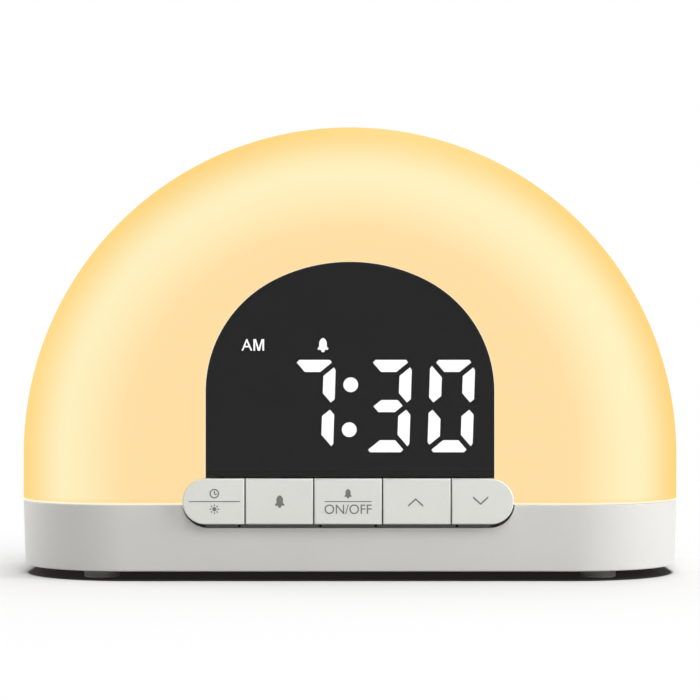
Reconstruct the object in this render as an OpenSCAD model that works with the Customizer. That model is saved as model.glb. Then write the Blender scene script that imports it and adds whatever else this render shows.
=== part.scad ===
// Sunrise alarm clock: a glowing half-round dome on a low base, with a digital display and a row of keys.
// Millimetres. +Z is up, the front faces -Y and the clock stands on Z = 0.
// Depths are measured backwards from the flat front of the dome.

/* [Overall] */
// Width across the dome and the base
body_w = 178.8; // [170:0.2:200]
// Height from the table to the top of the dome
body_h = 121.7; // [116:0.1:130]
// Depth from the flat front to the flat back
body_d = 75; // [72:1:90]
// Radius of the front rim, on the dome and at the base corners
front_r = 30; // [24:1:32]
// Radius of the rear rim, on the rear cover and at the base corners
rear_r = 12; // [10:1:12]
// How far the rubber feet lift the base
foot_lift = 2.4; // [1.5:0.1:4]

/* [Dome and rear cover] */
// Height of the seam between the dome and the base
seam_z = 20; // [19.5:0.1:21]
// Open gap of that seam
seam_gap = 0.2; // [0.1:0.05:0.4]
// Wall of the dome and of the rear cover
dome_wall = 2.2; // [1.8:0.1:2.6]
// Depth of the rear cover from its seam to the back
cover_d = 13; // [12.5:0.5:15]
// Length of the rear cover's lip inside the dome
lip_len = 3; // [2:0.5:5]
// Thickness of the lip and of the tongue that stands on the deck
lip_t = 1.3; // [1:0.1:1.6]
// Clearance between pieces that plug into each other
plug_gap = 0.2; // [0.1:0.05:0.3]

/* [Base] */
// Wall of the base housing
base_wall = 2.2; // [1.8:0.1:2.6]
// Inward lean of the base wall over its height
base_draft = 0.5; // [0.2:0.1:0.8]
// Radius of the bottom outer edge
base_round = 0.6; // [0.4:0.1:1.5]
// Width of the bottom rim around the base plate
rim_w = 5; // [4.5:0.1:6]
// Width of the ledge that the base plate seats on
ledge_w = 2.5; // [2:0.1:3]
// Thickness of the base plate
plate_t = 2; // [1.6:0.1:2.4]
// Thickness of the deck that closes the base below the dome
deck_t = 2; // [1.6:0.1:2.4]
// How far the deck lies below the seam
deck_drop = 2; // [1.6:0.1:2.6]

/* [Display] */
// Width of the window
window_w = 76.1; // [74:0.1:80]
// Height of the window's top above the table
window_top = 83.9; // [81:0.1:86]
// Height where the window's straight sides end
window_spring = 49.7; // [48:0.1:50]
// How much smaller the radius of the window's shoulders is than its rise
shoulder_step = 1.2; // [0.9:0.1:2]
// Height of the window's lower edge
window_low = 27.3; // [27.2:0.1:28]
// Thickness of the window pane in its hole
pane_t = 2.1; // [1.6:0.1:2.4]
// Width and thickness of the pane's flange behind the dome wall
pane_flange = 1.4; // [1:0.1:1.6]
// Height of a digit
digit_h = 24.4; // [20:0.1:25]
// Width of a digit
digit_w = 11.9; // [10:0.1:12.5]
// Width of a digit's segments
segment_w = 3.2; // [2.6:0.1:3.4]
// Distance from digit to digit
digit_pitch = 16.7; // [15:0.1:17]
// Extra distance across the colon
colon_extra = 3.4; // [3:0.1:4]
// Height of the digits' centre above the table
digit_z = 45.85; // [44:0.05:46]
// Radius of the colon's dots
dot_r = 1.95; // [1.5:0.05:2.1]
// Thickness of the black display block
block_t = 6.5; // [5:0.5:8]
// Thickness of every circuit board
board_t = 1.6; // [1:0.2:1.6]

/* [Keys] */
// Width of the row of keys
keys_w = 86.8; // [84:0.2:88]
// Sideways place of the row's centre, positive to the right seen from the front
keys_x = -0.5; // [-0.6:0.1:0.6]
// Height of the keys
keys_h = 11.9; // [11:0.1:12]
// Height of the keys' centre above the table
keys_z = 20.95; // [20.6:0.05:21.1]
// Distance between the three middle keys
key_pitch = 18; // [16:0.1:18.5]
// Gap between neighbouring keys
key_gap = 0.3; // [0.2:0.05:0.5]
// How far the keys stand out of the front
key_proud = 2.2; // [1.5:0.1:2.6]
// Travel of a key
key_travel = 0.5; // [0.2:0.05:0.5]
// Wall of a hollow key cap
cap_wall = 1.2; // [1:0.1:1.4]
// Clearance around the keys
key_clear = 0.25; // [0.2:0.05:0.35]
// Depth of the open strip below the keys
strip_h = 1.1; // [0.6:0.1:1.2]

/* [Light] */
// Depth of the reflector tray behind the front
tray_d = 44; // [40:0.5:45]
// Open space between the reflector tray and the dome's wall
tray_gap = 3.8; // [3.8:0.1:6]
// Wall of the reflector tray
tray_wall = 1.2; // [1:0.1:1.5]
// Number of light-emitting diodes on the arc
led_count = 14; // [8:1:16]
// Radius of their arc
led_r = 70; // [68:0.5:72]
// Edge length of one light-emitting diode
led_size = 5; // [3.5:0.5:5]

/* [Sound and power] */
// Edge length of the square speaker frame
speaker_w = 40; // [36:1:42]
// Height of the speaker's centre above the table
speaker_z = 64; // [58:1:70]
// Diameter of a hole in the speaker grille
grille_hole = 2.2; // [1.6:0.1:2.4]
// Sideways place of the power inlet, towards the left seen from the front
inlet_x = -30; // [-32:1:-20]
// Diameter of the inlet's plug hole
inlet_bore = 6; // [5.6:0.1:6.4]
// Diameter of the backup cell
cell_dia = 20; // [16:1:20]
// Thickness of the backup cell
cell_t = 3.2; // [1.6:0.1:3.2]
// Distance of the backup cell's centre from the side of the clock
cell_edge = 31.4; // [30:0.2:33]
// Depth of the backup cell behind the front
cell_d = 43; // [43:1:46]

/* [Feet and screws] */
// Diameter of a foot
foot_dia = 9.5; // [8:0.5:12]
// Depth of a foot's seat in the base plate
foot_seat = 0.6; // [0.3:0.1:1]
// Distance of the feet from the sides
feet_side = 23; // [23:1:27]
// Distance of the feet from the front and from the back
feet_inset = 13; // [12:0.5:14]
// Diameter of the housing screws
screw_dia = 2.6; // [2.2:0.1:3]
// Diameter of the small board screws
small_screw_dia = 2; // [1.8:0.1:2.2]

/* [Hidden] */
$fn = 64;

// Main planes and centres
front_y = (key_proud - body_d) / 2;
half_w = body_w / 2;
arc_z = body_h - half_w;
base_top = seam_z - seam_gap;
deck_top = seam_z - deck_drop;
deck_low = deck_top - deck_t;
plate_top = foot_lift + plate_t;
cover_seam = body_d - cover_d;
skirt_in = dome_wall + plug_gap;
tongue_in = skirt_in + lip_t;
tiny = 0.05;
through = 1;

// Display stack, as depths behind the front
pane_front = 0.1;
flange_back = max(dome_wall, pane_front + pane_t) + 1.2;
block_front = flange_back + 0.2;
block_back = block_front + block_t;
display_board_back = block_back + board_t;
tunnel_wall = 1.5;
tunnel_low = window_low + 1.9;
tray_back = tray_d + tray_wall;
tray_r = half_w - dome_wall - tray_gap;
standoff_h = 2.2;
light_board_front = tray_back + standoff_h;
light_board_back = light_board_front + board_t;

// Key stack, as depths behind the front
frame_front = max(dome_wall, base_wall);
frame_t = 1.8;
frame_back = frame_front + frame_t;
retainer_front = frame_back + key_gap;
retainer_t = 1;
cap_back = retainer_front + retainer_t;
stem_front = cap_back + 1;
switch_front = stem_front + 1;
switch_w = 6;
switch_t = 3.6;
switch_back = switch_front + switch_t;
stem_r = 1.7;
stem_clear = 0.1;
stem_len = 2.2;
key_board_back = switch_back + board_t;
keyhole_low = keys_z - keys_h / 2 - strip_h;
keyhole_top = keys_z + keys_h / 2 + key_clear;
keyhole_h = keyhole_top - keyhole_low;
keyhole_z = (keyhole_top + keyhole_low) / 2;
keyhole_w = keys_w + 2 * key_clear;
frame_margin = 1.6;
end_block_in = keys_w / 2 + frame_margin;
end_block_w = 4.5;
ear_x = end_block_in + end_block_w + 3.6;
ear_z = 14.8;
ear_front = frame_front + 2.8;
ear_t = 1.8;
key_xs = [
    keys_x - (key_pitch * 1.5 + keys_w / 2) / 2,
    keys_x - key_pitch,
    keys_x,
    keys_x + key_pitch,
    keys_x + (key_pitch * 1.5 + keys_w / 2) / 2
];

// Places of screws and posts
front_post = [half_w - 30, 24];
rear_post = [half_w - 42, body_d - 11];
plate_posts = [for (side = [-1, 1], post = [front_post, rear_post]) [side * post[0], post[1]]];
cover_posts = [[-44, 26], [44, 26], [-36, 66], [36, 66]];
tunnel_bosses = [[-33.5, 40], [33.5, 40], [0, window_top - 4.5]];
standoff_r = 60;
standoff_angles = [20, 65, 115, 160];
reflector_screw_x = half_w - 30;
reflector_foot_d = 7;
speaker_hole = speaker_w / 2 - 3.5;
post_r = 3.5;
pilot_r = 0.85;
inlet_w = 9;
inlet_l = 14;
inlet_h = 10.6;
inlet_top = plate_top + inlet_h;
main_board_w = 80;
main_board_x = -4;
main_board_d = 20;
board_inlet_gap = 0.8;
main_board_l = body_d - base_wall - inlet_l - board_inlet_gap - main_board_d;
main_board_z = plate_top + 2.5;
main_board_top = main_board_z + board_t;
inlet_z = plate_top + 5.3;
cell_x = half_w - cell_edge;
cell_z = plate_top + 0.8;
door_r = cell_dia / 2 + 2;
door_gap = 0.3;
well_r = door_r + door_gap;
holder_top = cell_z + cell_t + 1.6;
lug_len = 1.2;
lug_span = 24;
gasket_t = 1.5;
nose_r = 3.8;
board_hole_inset = 3.5;
main_board_corners = [
    for (side = [-1, 1], d = [board_hole_inset, main_board_l - board_hole_inset])
        [main_board_x + side * (main_board_w / 2 - board_hole_inset), main_board_d + d]
];

// Plane helpers

// Moves a flat shape drawn in X and Z to a depth, and gives it a thickness backwards
module at_depth(d, t) {
    translate([0, front_y + d + t, 0])
        rotate([90, 0, 0])
            linear_extrude(t) children();
}

// A round rod that runs backwards from a depth
module rod(x, d, z, r, len) {
    translate([x, front_y + d, z])
        rotate([-90, 0, 0])
            cylinder(r = r, h = len);
}

// A box given by its corner in X, depth and Z
module block(x, d, z, size) {
    translate([x, front_y + d, z]) cube(size);
}

// The outline of the clock from above, drawn in by an inset
module plan(inset) {
    front_x = half_w - front_r;
    rear_x = half_w - rear_r;
    for (side = [-1, 1]) {
        translate([side * front_x, front_y + front_r]) circle(front_r - inset);
        translate([side * rear_x, front_y + body_d - rear_r]) circle(rear_r - inset);
    }
    translate([-front_x, front_y + inset]) square([2 * front_x, front_r - inset]);
    translate([-half_w + inset, front_y + front_r])
        square([body_w - 2 * inset, body_d - front_r - rear_r]);
    translate([-rear_x, front_y + body_d - rear_r]) square([2 * rear_x, rear_r - inset]);
}

// The strip between two insets of the outline, from one depth to another
module plan_ring(outer, inner, d0, d1) {
    intersection() {
        difference() {
            plan(outer);
            plan(inner);
        }
        translate([-body_w, front_y + d0]) square([2 * body_w, d1 - d0]);
    }
}

// Turns the right half of a plan shape over the dome's centre, and runs the whole of it down to a height
module dome_form(low) {
    translate([0, 0, arc_z])
        rotate([-90, 0, 0])
            rotate([0, 0, 180])
                rotate_extrude(angle = 180)
                    intersection() {
                        children();
                        translate([0, -body_d]) square([body_w, 2 * body_d]);
                    }
    translate([0, 0, low]) linear_extrude(arc_z - low) children();
}

// Runs a wall section straight along the front, or along the back when turned by 180 degrees
module long_run(reach, y, turn) {
    translate([0, y, 0])
        rotate([0, 0, turn])
            translate([-reach, 0, 0])
                rotate([90, 0, 90])
                    linear_extrude(2 * reach) children();
}

// Runs a wall section along the outline: the section's X is the inset and its Y the height
module along_outline() {
    long_run(half_w - front_r, front_y, 0) children();
    long_run(half_w - rear_r, front_y + body_d, 180) children();
    for (side = [0, 1])
        mirror([side, 0, 0]) {
            translate([half_w, front_y + body_d - rear_r, 0])
                rotate([90, 0, 0])
                    linear_extrude(body_d - front_r - rear_r)
                        mirror([1, 0]) children();
            translate([half_w - front_r, front_y + front_r, 0])
                rotate([0, 0, -90])
                    rotate_extrude(angle = 90)
                        translate([front_r, 0]) mirror([1, 0]) children();
            translate([half_w - rear_r, front_y + body_d - rear_r, 0])
                rotate_extrude(angle = 90)
                    translate([rear_r, 0]) mirror([1, 0]) children();
        }
}

// A bar with round ends, centred
module pill(w, h) {
    square([w - h, h], center = true);
    for (side = [-1, 1])
        translate([side * (w - h) / 2, 0]) circle(h / 2);
}

// The right-hand points of an arc, from one angle to another
function arc_points(cx, cy, r, a0, a1, steps) = [
    for (i = [0:steps]) [
        cx + r * cos(a0 + (a1 - a0) * i / steps),
        cy + r * sin(a0 + (a1 - a0) * i / steps)
    ]
];

// The window's outline, grown by an amount and cut off at a height
window_rise = window_top - window_spring;
shoulder_r = window_rise - shoulder_step;
shoulder_x = window_w / 2 - shoulder_r;
crown_r = (shoulder_x ^ 2 + window_rise ^ 2 - shoulder_r ^ 2) / (2 * shoulder_step);
crown_z = window_top - crown_r;
shoulder_angle = atan2(window_spring - crown_z, shoulder_x);
module arch(grow, low) {
    polygon(concat(
        [[window_w / 2 + grow, low]],
        arc_points(shoulder_x, window_spring, shoulder_r + grow, 0, shoulder_angle, 16),
        arc_points(0, crown_z, crown_r + grow, shoulder_angle, 180 - shoulder_angle, 24),
        arc_points(-shoulder_x, window_spring, shoulder_r + grow, 180 - shoulder_angle, 180, 16),
        [[-window_w / 2 - grow, low]]
    ));
}

// The hole in the front that the row of keys fills
module keyhole() {
    translate([keys_x, keyhole_z]) pill(keyhole_w, keyhole_h);
}

// A half disc around the dome's centre with straight sides down to a height
module half_disc(r, low) {
    intersection() {
        union() {
            translate([0, arc_z]) circle(r);
            translate([-r, low]) square([2 * r, arc_z - low]);
        }
        translate([-r, low]) square([2 * r, arc_z + r]);
    }
}

// A cross-head screw: its head lies below the origin and its shank runs up
function head_r(dia) = 0.95 * dia;
function head_t(dia) = 0.55 * dia;
module screw(dia, len) {
    difference() {
        union() {
            translate([0, 0, -head_t(dia)]) cylinder(r = head_r(dia), h = head_t(dia));
            cylinder(r = dia / 2, h = len);
        }
        for (turn = [0, 90])
            rotate([0, 0, turn])
                translate([-0.6 * dia, -0.12 * dia, -head_t(dia) - tiny])
                    cube([1.2 * dia, 0.24 * dia, 0.28 * dia + tiny]);
    }
}

// A screw at X, depth and Z, driven up, down, to the front or to the back
module screw_at(x, d, z, way, dia, len) {
    tilt = way == "up" ? 0 : way == "down" ? 180 : way == "front" ? 90 : -90;
    translate([x, front_y + d, z]) rotate([tilt, 0, 0]) screw(dia, len);
}

// Outer shells

module light_dome() {
    front_bay = end_block_in + end_block_w + 0.5;
    tongue_end = cover_seam - lip_len - 0.3;
    color("moccasin", 0.9)
        difference() {
            union() {
                dome_form(seam_z) plan_ring(0, dome_wall, 0, cover_seam);
                difference() {
                    union() {
                        translate([0, 0, deck_top])
                            linear_extrude(seam_z + 1 - deck_top)
                                plan_ring(skirt_in, tongue_in, 0, tongue_end);
                        translate([0, 0, seam_z])
                            linear_extrude(1)
                                plan_ring(dome_wall / 2, tongue_in, 0, tongue_end);
                    }
                    block(-front_bay, -through, deck_top - through, [2 * front_bay, 10, 10]);
                }
            }
            at_depth(-through, dome_wall + 2 * through) arch(0, seam_z - through);
            at_depth(-through, dome_wall + 2 * through) keyhole();
        }
}

module rear_cover() {
    lip_in = skirt_in + lip_t;
    back_in = body_d - dome_wall;
    color("gainsboro")
        difference() {
            union() {
                dome_form(seam_z) plan_ring(0, dome_wall, cover_seam, body_d);
                dome_form(seam_z) plan_ring(skirt_in, lip_in, cover_seam - lip_len, cover_seam + 1);
                dome_form(seam_z) plan_ring(dome_wall / 2, lip_in, cover_seam, cover_seam + 1);
                translate([0, 0, deck_top])
                    linear_extrude(seam_z + 1 - deck_top)
                        plan_ring(skirt_in, tongue_in, cover_seam, body_d);
                translate([0, 0, seam_z])
                    linear_extrude(1) plan_ring(dome_wall / 2, tongue_in, cover_seam, body_d);
                for (side = [-1, 1], level = [-1, 1])
                    rod(
                        side * speaker_hole, back_in - gasket_t, speaker_z + level * speaker_hole,
                        2.6, gasket_t + tiny
                    );
            }
            for (post = cover_posts) {
                rod(post[0], back_in - through, post[1], screw_dia / 2 + 0.2, dome_wall + 2 * through);
                rod(
                    post[0], body_d - head_t(screw_dia) - 0.1, post[1],
                    head_r(screw_dia) + 0.3, through + 2
                );
            }
            for (side = [-1, 1], level = [-1, 1])
                rod(
                    side * speaker_hole, back_in - gasket_t - through, speaker_z + level * speaker_hole,
                    pilot_r, gasket_t + through + 1.2
                );
            grille_holes();
        }
}

// Round holes of the speaker grille, in rings of 6, 12 and 18 around the middle one
grille_step = 4.2;
module grille_holes() {
    for (ring = [0:3])
        for (i = [0:max(1, 6 * ring) - 1])
            rod(
                ring * grille_step * cos(60 * i / max(1, ring)),
                body_d - dome_wall - through,
                speaker_z + ring * grille_step * sin(60 * i / max(1, ring)),
                grille_hole / 2,
                dome_wall + 2 * through
            );
}

module rear_cover_screws() {
    color("silver")
        for (post = cover_posts)
            screw_at(post[0], body_d - 0.1 - head_t(screw_dia), post[1], "front", screw_dia, 8);
}

// Section of the base wall with its rim and ledge
rim_top = plate_top + 2;
module base_section() {
    round_in = base_draft + base_round;
    polygon([
        [0, base_top],
        [base_wall, base_top],
        [base_wall, rim_top],
        [rim_w + ledge_w, rim_top],
        [rim_w + ledge_w, plate_top],
        [rim_w, plate_top],
        [rim_w, foot_lift],
        [round_in, foot_lift],
        [base_draft, foot_lift + base_round]
    ]);
    intersection() {
        translate([round_in, foot_lift + base_round]) circle(base_round);
        translate([base_draft, foot_lift]) square(base_round);
    }
}

module base_housing() {
    key_bay = ear_reach + 1.3;
    key_bay_d = 16;
    color("gainsboro")
        difference() {
            union() {
                along_outline() base_section();
                difference() {
                    translate([0, 0, deck_low]) linear_extrude(deck_t) plan(base_wall / 2);
                    block(-key_bay, -through, deck_low - through, [2 * key_bay, key_bay_d + through, 10]);
                    block(-20, board_rear - 2, deck_low - through, [40, 8, 10]);
                    block(half_w - 22, light_board_back + 1, deck_low - through, [6, 6, 10]);
                }
                for (post = plate_posts)
                    translate([post[0], front_y + post[1], plate_top])
                        cylinder(r = post_r, h = deck_low + tiny - plate_top);
                block(
                    inlet_x - inlet_w / 2 + 0.5, body_d - base_wall - 10, inlet_top,
                    [inlet_w - 1, 8, deck_low + tiny - inlet_top]
                );
                for (side = [-1, 1]) {
                    rod(side * ear_x, base_wall - 1, ear_z, 2.6, ear_front + 1 - base_wall);
                    translate([side * reflector_screw_x, front_y + tray_d + reflector_foot_d, deck_low - 3])
                        cylinder(r = 3, h = 3 + tiny);
                }
            }
            at_depth(-through, base_wall + through + tiny) keyhole();
            for (post = plate_posts)
                translate([post[0], front_y + post[1], plate_top - through])
                    cylinder(r = screw_dia / 2 + tiny, h = 8 + through);
            for (side = [-1, 1]) {
                rod(side * ear_x, 1.8, ear_z, small_screw_dia / 2 + tiny, 5);
                translate([side * reflector_screw_x, front_y + tray_d + reflector_foot_d, deck_low - 2.5])
                    cylinder(r = small_screw_dia / 2 + tiny, h = 10);
            }
            rod(inlet_x, body_d - base_wall - 1, inlet_z, nose_r + 0.2, base_wall + 2);
            block(
                inlet_x - inlet_w / 2 - 0.3, body_d - base_wall - inlet_l - 0.3, plate_top - tiny,
                [inlet_w + 0.6, inlet_l + 0.3, rim_top - plate_top + 2 * tiny]
            );
        }
}

// Ring-shaped sector around the cell's centre, for the door's lugs and their groove
module lug_sector(r0, r1, z0, z1, angle, span) {
    rotate([0, 0, angle - span / 2])
        rotate_extrude(angle = span)
            translate([r0, z0]) square([r1 - r0, z1 - z0]);
}

lug_low = foot_lift + 1.2;
lug_high = lug_low + 1;
door_turn = 45;
module base_plate() {
    groove_r = door_r + lug_len + door_gap;
    groove_low = lug_low - door_gap;
    groove_high = lug_high + door_gap;
    slot_span = lug_span + 6;
    color("lightgray")
        difference() {
            union() {
                translate([0, 0, foot_lift]) linear_extrude(plate_t) plan(rim_w + plug_gap);
                translate([cell_x, front_y + cell_d, plate_top - tiny])
                    cylinder(r = groove_r + 1.2, h = holder_top - plate_top + tiny);
                for (corner = main_board_corners)
                    translate([corner[0], front_y + corner[1], plate_top - tiny])
                        cylinder(r = 2.8, h = main_board_z - plate_top + tiny);
            }
            for (post = plate_posts)
                translate([post[0], front_y + post[1], foot_lift - through]) {
                    cylinder(r = screw_dia / 2 + 0.2, h = plate_t + 2 * through);
                    cylinder(r = head_r(screw_dia) + 0.2, h = through + head_t(screw_dia));
                }
            for (place = foot_places)
                translate([place[0], front_y + place[1], foot_lift - through])
                    cylinder(r = foot_dia / 2 + tiny, h = foot_seat + through);
            for (corner = main_board_corners)
                translate([corner[0], front_y + corner[1], plate_top])
                    cylinder(r = small_screw_dia / 2 + tiny, h = main_board_z);
            translate([cell_x, front_y + cell_d, 0]) {
                translate([0, 0, foot_lift - through])
                    cylinder(r = well_r, h = cell_z + through - foot_lift);
                translate([0, 0, cell_z - tiny])
                    cylinder(r = cell_dia / 2 + 0.3, h = cell_t + 0.4 + tiny);
                translate([0, 0, cell_z]) cylinder(r = 1.2, h = 20);
                translate([-cell_dia / 2 - 0.9, -2, cell_z]) cube([1.5, 4, 20]);
                for (half = [0, 180]) {
                    lug_sector(
                        well_r - 1, groove_r, groove_low, groove_high,
                        half - door_turn / 2, slot_span + door_turn
                    );
                    lug_sector(well_r - 1, groove_r, 0, groove_low + tiny, half - door_turn, slot_span);
                }
            }
        }
}

module base_plate_screws() {
    color("silver")
        for (post = plate_posts)
            screw_at(post[0], post[1], foot_lift + head_t(screw_dia), "up", screw_dia, 6.5);
}

foot_places = [
    for (side = [-1, 1], d = [feet_inset, body_d - feet_inset]) [side * (half_w - feet_side), d]
];
module rubber_feet() {
    color("darkgray")
        for (place = foot_places)
            translate([place[0], front_y + place[1], 0])
                cylinder(r = foot_dia / 2, h = foot_lift + foot_seat);
}

// Display

module display_window() {
    color("#2b2b2b", 0.8) {
        at_depth(pane_front, pane_t) arch(-0.15, window_low);
        at_depth(dome_wall, flange_back - dome_wall) arch(pane_flange, tunnel_low);
    }
}

// Light-tight tunnel from the window to the reflector tray
module display_tunnel() {
    floor_top = tunnel_low + tunnel_wall;
    color("whitesmoke")
        difference() {
            union() {
                difference() {
                    at_depth(flange_back, tray_d - flange_back) arch(pane_flange, tunnel_low);
                    at_depth(flange_back - through, tray_d + through) arch(0, floor_top);
                }
                intersection() {
                    at_depth(flange_back, tray_d - flange_back) arch(pane_flange / 2, tunnel_low);
                    union() {
                        for (side = [-1, 1], level = [36, 48])
                            block(side * (window_w / 2 - 1) - 2.4, display_board_back, level, [4.8, 5, 3]);
                        for (boss = tunnel_bosses)
                            rod(boss[0], tray_d - 9, boss[1], 3.2, 9);
                        for (boss = tunnel_bosses)
                            block(boss[0] - 1.5 + 4 * sign(boss[0]), tray_d - 9, boss[1] - 1.5, [3, 9, 3]);
                        block(-1.5, tray_d - 9, tunnel_bosses[2][1], [3, 9, 8]);
                    }
                }
            }
            for (boss = tunnel_bosses)
                rod(boss[0], tray_d - 7, boss[1], small_screw_dia / 2 + tiny, 8);
            block(-10, 14, tunnel_low - through, [20, 1.8, tunnel_wall + 2 * through]);
        }
}

module tunnel_screws() {
    color("silver")
        for (boss = tunnel_bosses)
            screw_at(boss[0], tray_back, boss[1], "front", small_screw_dia, 6);
}

// Seven-segment digits. Gaps between segments run along two slanted directions through six crossings.
crossing_in = 1.1;
left_corner_drop = 1.23;
right_corner_drop = 1.62;
back_slope = 0.89;
back_gap = 0.93;
fore_slope = 1.2;
fore_gap = 1.07;
corner_cut = 0.7;
digit_slant = 0.0325;
function fore_x(n, o, z) = n[0] + fore_slope * (z - n[1]) + o;
function fore_z(n, o, x) = n[1] + (x - n[0] - o) / fore_slope;
function back_x(n, o, z) = n[0] - back_slope * (z - n[1]) + o;
function back_z(n, o, x) = n[1] - (x - n[0] - o) / back_slope;
function crossing(n, fo, bo) =
    let (rise = (bo - fo) / (fore_slope + back_slope)) [n[0] + fore_slope * rise + fo, n[1] + rise];
function turned(points) = [for (p = points) -p];
function slanted(points) = [for (p = points) [p[0] + digit_slant * p[1], p[1]]];

// The seven outlines in the usual order: top, right ones, bottom, left ones upwards, middle
hw = digit_w / 2;
hh = digit_h / 2;
sw = segment_w;
top_left = [-hw + crossing_in, hh - left_corner_drop];
top_right = [hw - crossing_in, hh - right_corner_drop];
mid_left = [-hw + crossing_in, 0];
mid_right = [hw - crossing_in, 0];
top_segment = [
    [back_x(top_left, back_gap, hh - sw), hh - sw],
    [back_x(top_left, back_gap, hh - corner_cut), hh - corner_cut],
    [back_x(top_left, back_gap, hh - corner_cut) + corner_cut, hh],
    [fore_x(top_right, -fore_gap, hh - corner_cut) - 0.7 * corner_cut, hh],
    [fore_x(top_right, -fore_gap, hh - corner_cut), hh - corner_cut],
    [fore_x(top_right, -fore_gap, hh - sw), hh - sw]
];
upper_right = [
    [hw - sw, fore_z(top_right, fore_gap, hw - sw)],
    [hw - 0.7 * corner_cut, fore_z(top_right, fore_gap, hw - 0.7 * corner_cut)],
    [hw, fore_z(top_right, fore_gap, hw - 0.7 * corner_cut) - corner_cut],
    [hw, fore_z(mid_right, -fore_gap, hw)],
    crossing(mid_right, -fore_gap, back_gap),
    [hw - sw, back_z(mid_right, back_gap, hw - sw)]
];
upper_left = [
    [-hw, back_z(top_left, -back_gap, -hw + 0.7 * corner_cut) - corner_cut],
    [-hw + 0.7 * corner_cut, back_z(top_left, -back_gap, -hw + 0.7 * corner_cut)],
    [-hw + sw, back_z(top_left, -back_gap, -hw + sw)],
    [-hw + sw, fore_z(mid_left, -fore_gap, -hw + sw)],
    crossing(mid_left, -fore_gap, back_gap),
    [-hw, back_z(mid_left, back_gap, -hw)]
];
middle = [
    crossing(mid_left, fore_gap, back_gap),
    [fore_x(mid_left, fore_gap, sw / 2), sw / 2],
    [-back_x(mid_left, back_gap, -sw / 2), sw / 2],
    -crossing(mid_left, fore_gap, back_gap),
    [-fore_x(mid_left, fore_gap, sw / 2), -sw / 2],
    [back_x(mid_left, back_gap, -sw / 2), -sw / 2]
];
segments = [
    top_segment, upper_right, turned(upper_left), turned(top_segment),
    turned(upper_right), upper_left, middle
];

// Which segments glow in each place, for a time of 7:30
digit_x = digit_pitch / 2 + colon_extra / 2;
digit_xs = [-digit_x - digit_pitch, -digit_x, digit_x, digit_x + digit_pitch];
glowing = [[], [0, 1, 2], [0, 1, 2, 3, 6], [0, 1, 2, 3, 4, 5]];
function glows(place, part) = len([for (g = glowing[place]) if (g == part) g]) > 0;
colon_rise = 5.93;
colon_drop = 0.3;
marker_z = digit_z + digit_h / 2 + 3.9;
letter_h = 3.2;

// The small morning marker: the letters A and M, drawn one unit high
module morning_marker() {
    translate([digit_xs[0] - 0.55, marker_z])
        scale(letter_h)
            difference() {
                polygon([
                    [-0.45, -0.5], [-0.1, 0.5], [0.1, 0.5], [0.45, -0.5],
                    [0.27, -0.5], [0.2, -0.3], [-0.2, -0.3], [-0.27, -0.5]
                ]);
                polygon([[-0.15, -0.14], [0, 0.27], [0.15, -0.14]]);
            }
    translate([digit_xs[0] + 2.5, marker_z])
        scale(letter_h)
            polygon([
                [-0.45, -0.5], [-0.45, 0.5], [-0.28, 0.5], [0, -0.1], [0.28, 0.5], [0.45, 0.5],
                [0.45, -0.5], [0.31, -0.5], [0.31, 0.17], [0, -0.4], [-0.31, 0.17], [-0.31, -0.5]
            ]);
}

// The small bell that shows a set alarm, drawn in units of the letters' height
module bell_marker() {
    bell_r = 0.33;
    translate([digit_xs[1] + 2.9, marker_z - 0.15])
        scale(letter_h) {
            polygon(concat(
                arc_points(0, 0.25, bell_r, 0, 180, 12),
                [[-bell_r, -0.12], [-0.45, -0.31], [0.45, -0.31], [bell_r, -0.12]]
            ));
            translate([0, -0.47]) circle(0.12);
        }
}

module lit_shapes() {
    for (place = [0:3], part = [0:6])
        if (glows(place, part))
            translate([digit_xs[place], digit_z]) polygon(slanted(segments[part]));
    for (side = [-1, 1])
        translate([side * digit_slant * colon_rise, digit_z - colon_drop + side * colon_rise])
            circle(dot_r);
    morning_marker();
    bell_marker();
}

module unlit_shapes() {
    for (place = [0:3], part = [0:6])
        if (!glows(place, part))
            translate([digit_xs[place], digit_z]) polygon(slanted(segments[part]));
}

well_depth = 3;
module lit_segments() {
    color("white") at_depth(block_front, well_depth) lit_shapes();
}

module unlit_segments() {
    color("#303030") at_depth(block_front, well_depth) unlit_shapes();
}

module display_block() {
    color("#1c1c1c")
        difference() {
            at_depth(block_front, block_t) arch(-0.4, tunnel_low + tunnel_wall + 0.3);
            at_depth(block_front - through, well_depth + through) {
                lit_shapes();
                unlit_shapes();
            }
            for (place = display_screw_places)
                rod(place[0], block_back - 2.6, place[1], small_screw_dia / 2 + tiny, 3);
        }
}

display_screw_places = [[-32, 33.2], [32, 33.2], [-14, 77], [14, 77]];
module display_board() {
    color("darkgreen")
        difference() {
            at_depth(block_back, board_t) arch(-0.8, tunnel_low + tunnel_wall + 0.3);
            for (place = display_screw_places)
                rod(
                    place[0], block_back - through, place[1],
                    small_screw_dia / 2 + 0.2, board_t + 2 * through
                );
        }
}

module display_board_screws() {
    color("silver")
        for (place = display_screw_places)
            screw_at(place[0], display_board_back, place[1], "front", small_screw_dia, 4);
}

// Keys

function key_start(i) = keys_x + (i == 0 ? -keys_w / 2 : (i - 2.5) * key_pitch + key_gap / 2);
function key_end(i) = keys_x + (i == 4 ? keys_w / 2 : (i - 1.5) * key_pitch - key_gap / 2);

// The outline of one key, drawn in by an inset
module key_outline(i, inset) {
    intersection() {
        translate([keys_x, keys_z]) pill(keys_w - 2 * inset, keys_h - 2 * inset);
        translate([key_start(i) + inset, keys_z - keys_h])
            square([key_end(i) - key_start(i) - 2 * inset, 2 * keys_h]);
    }
}

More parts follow.
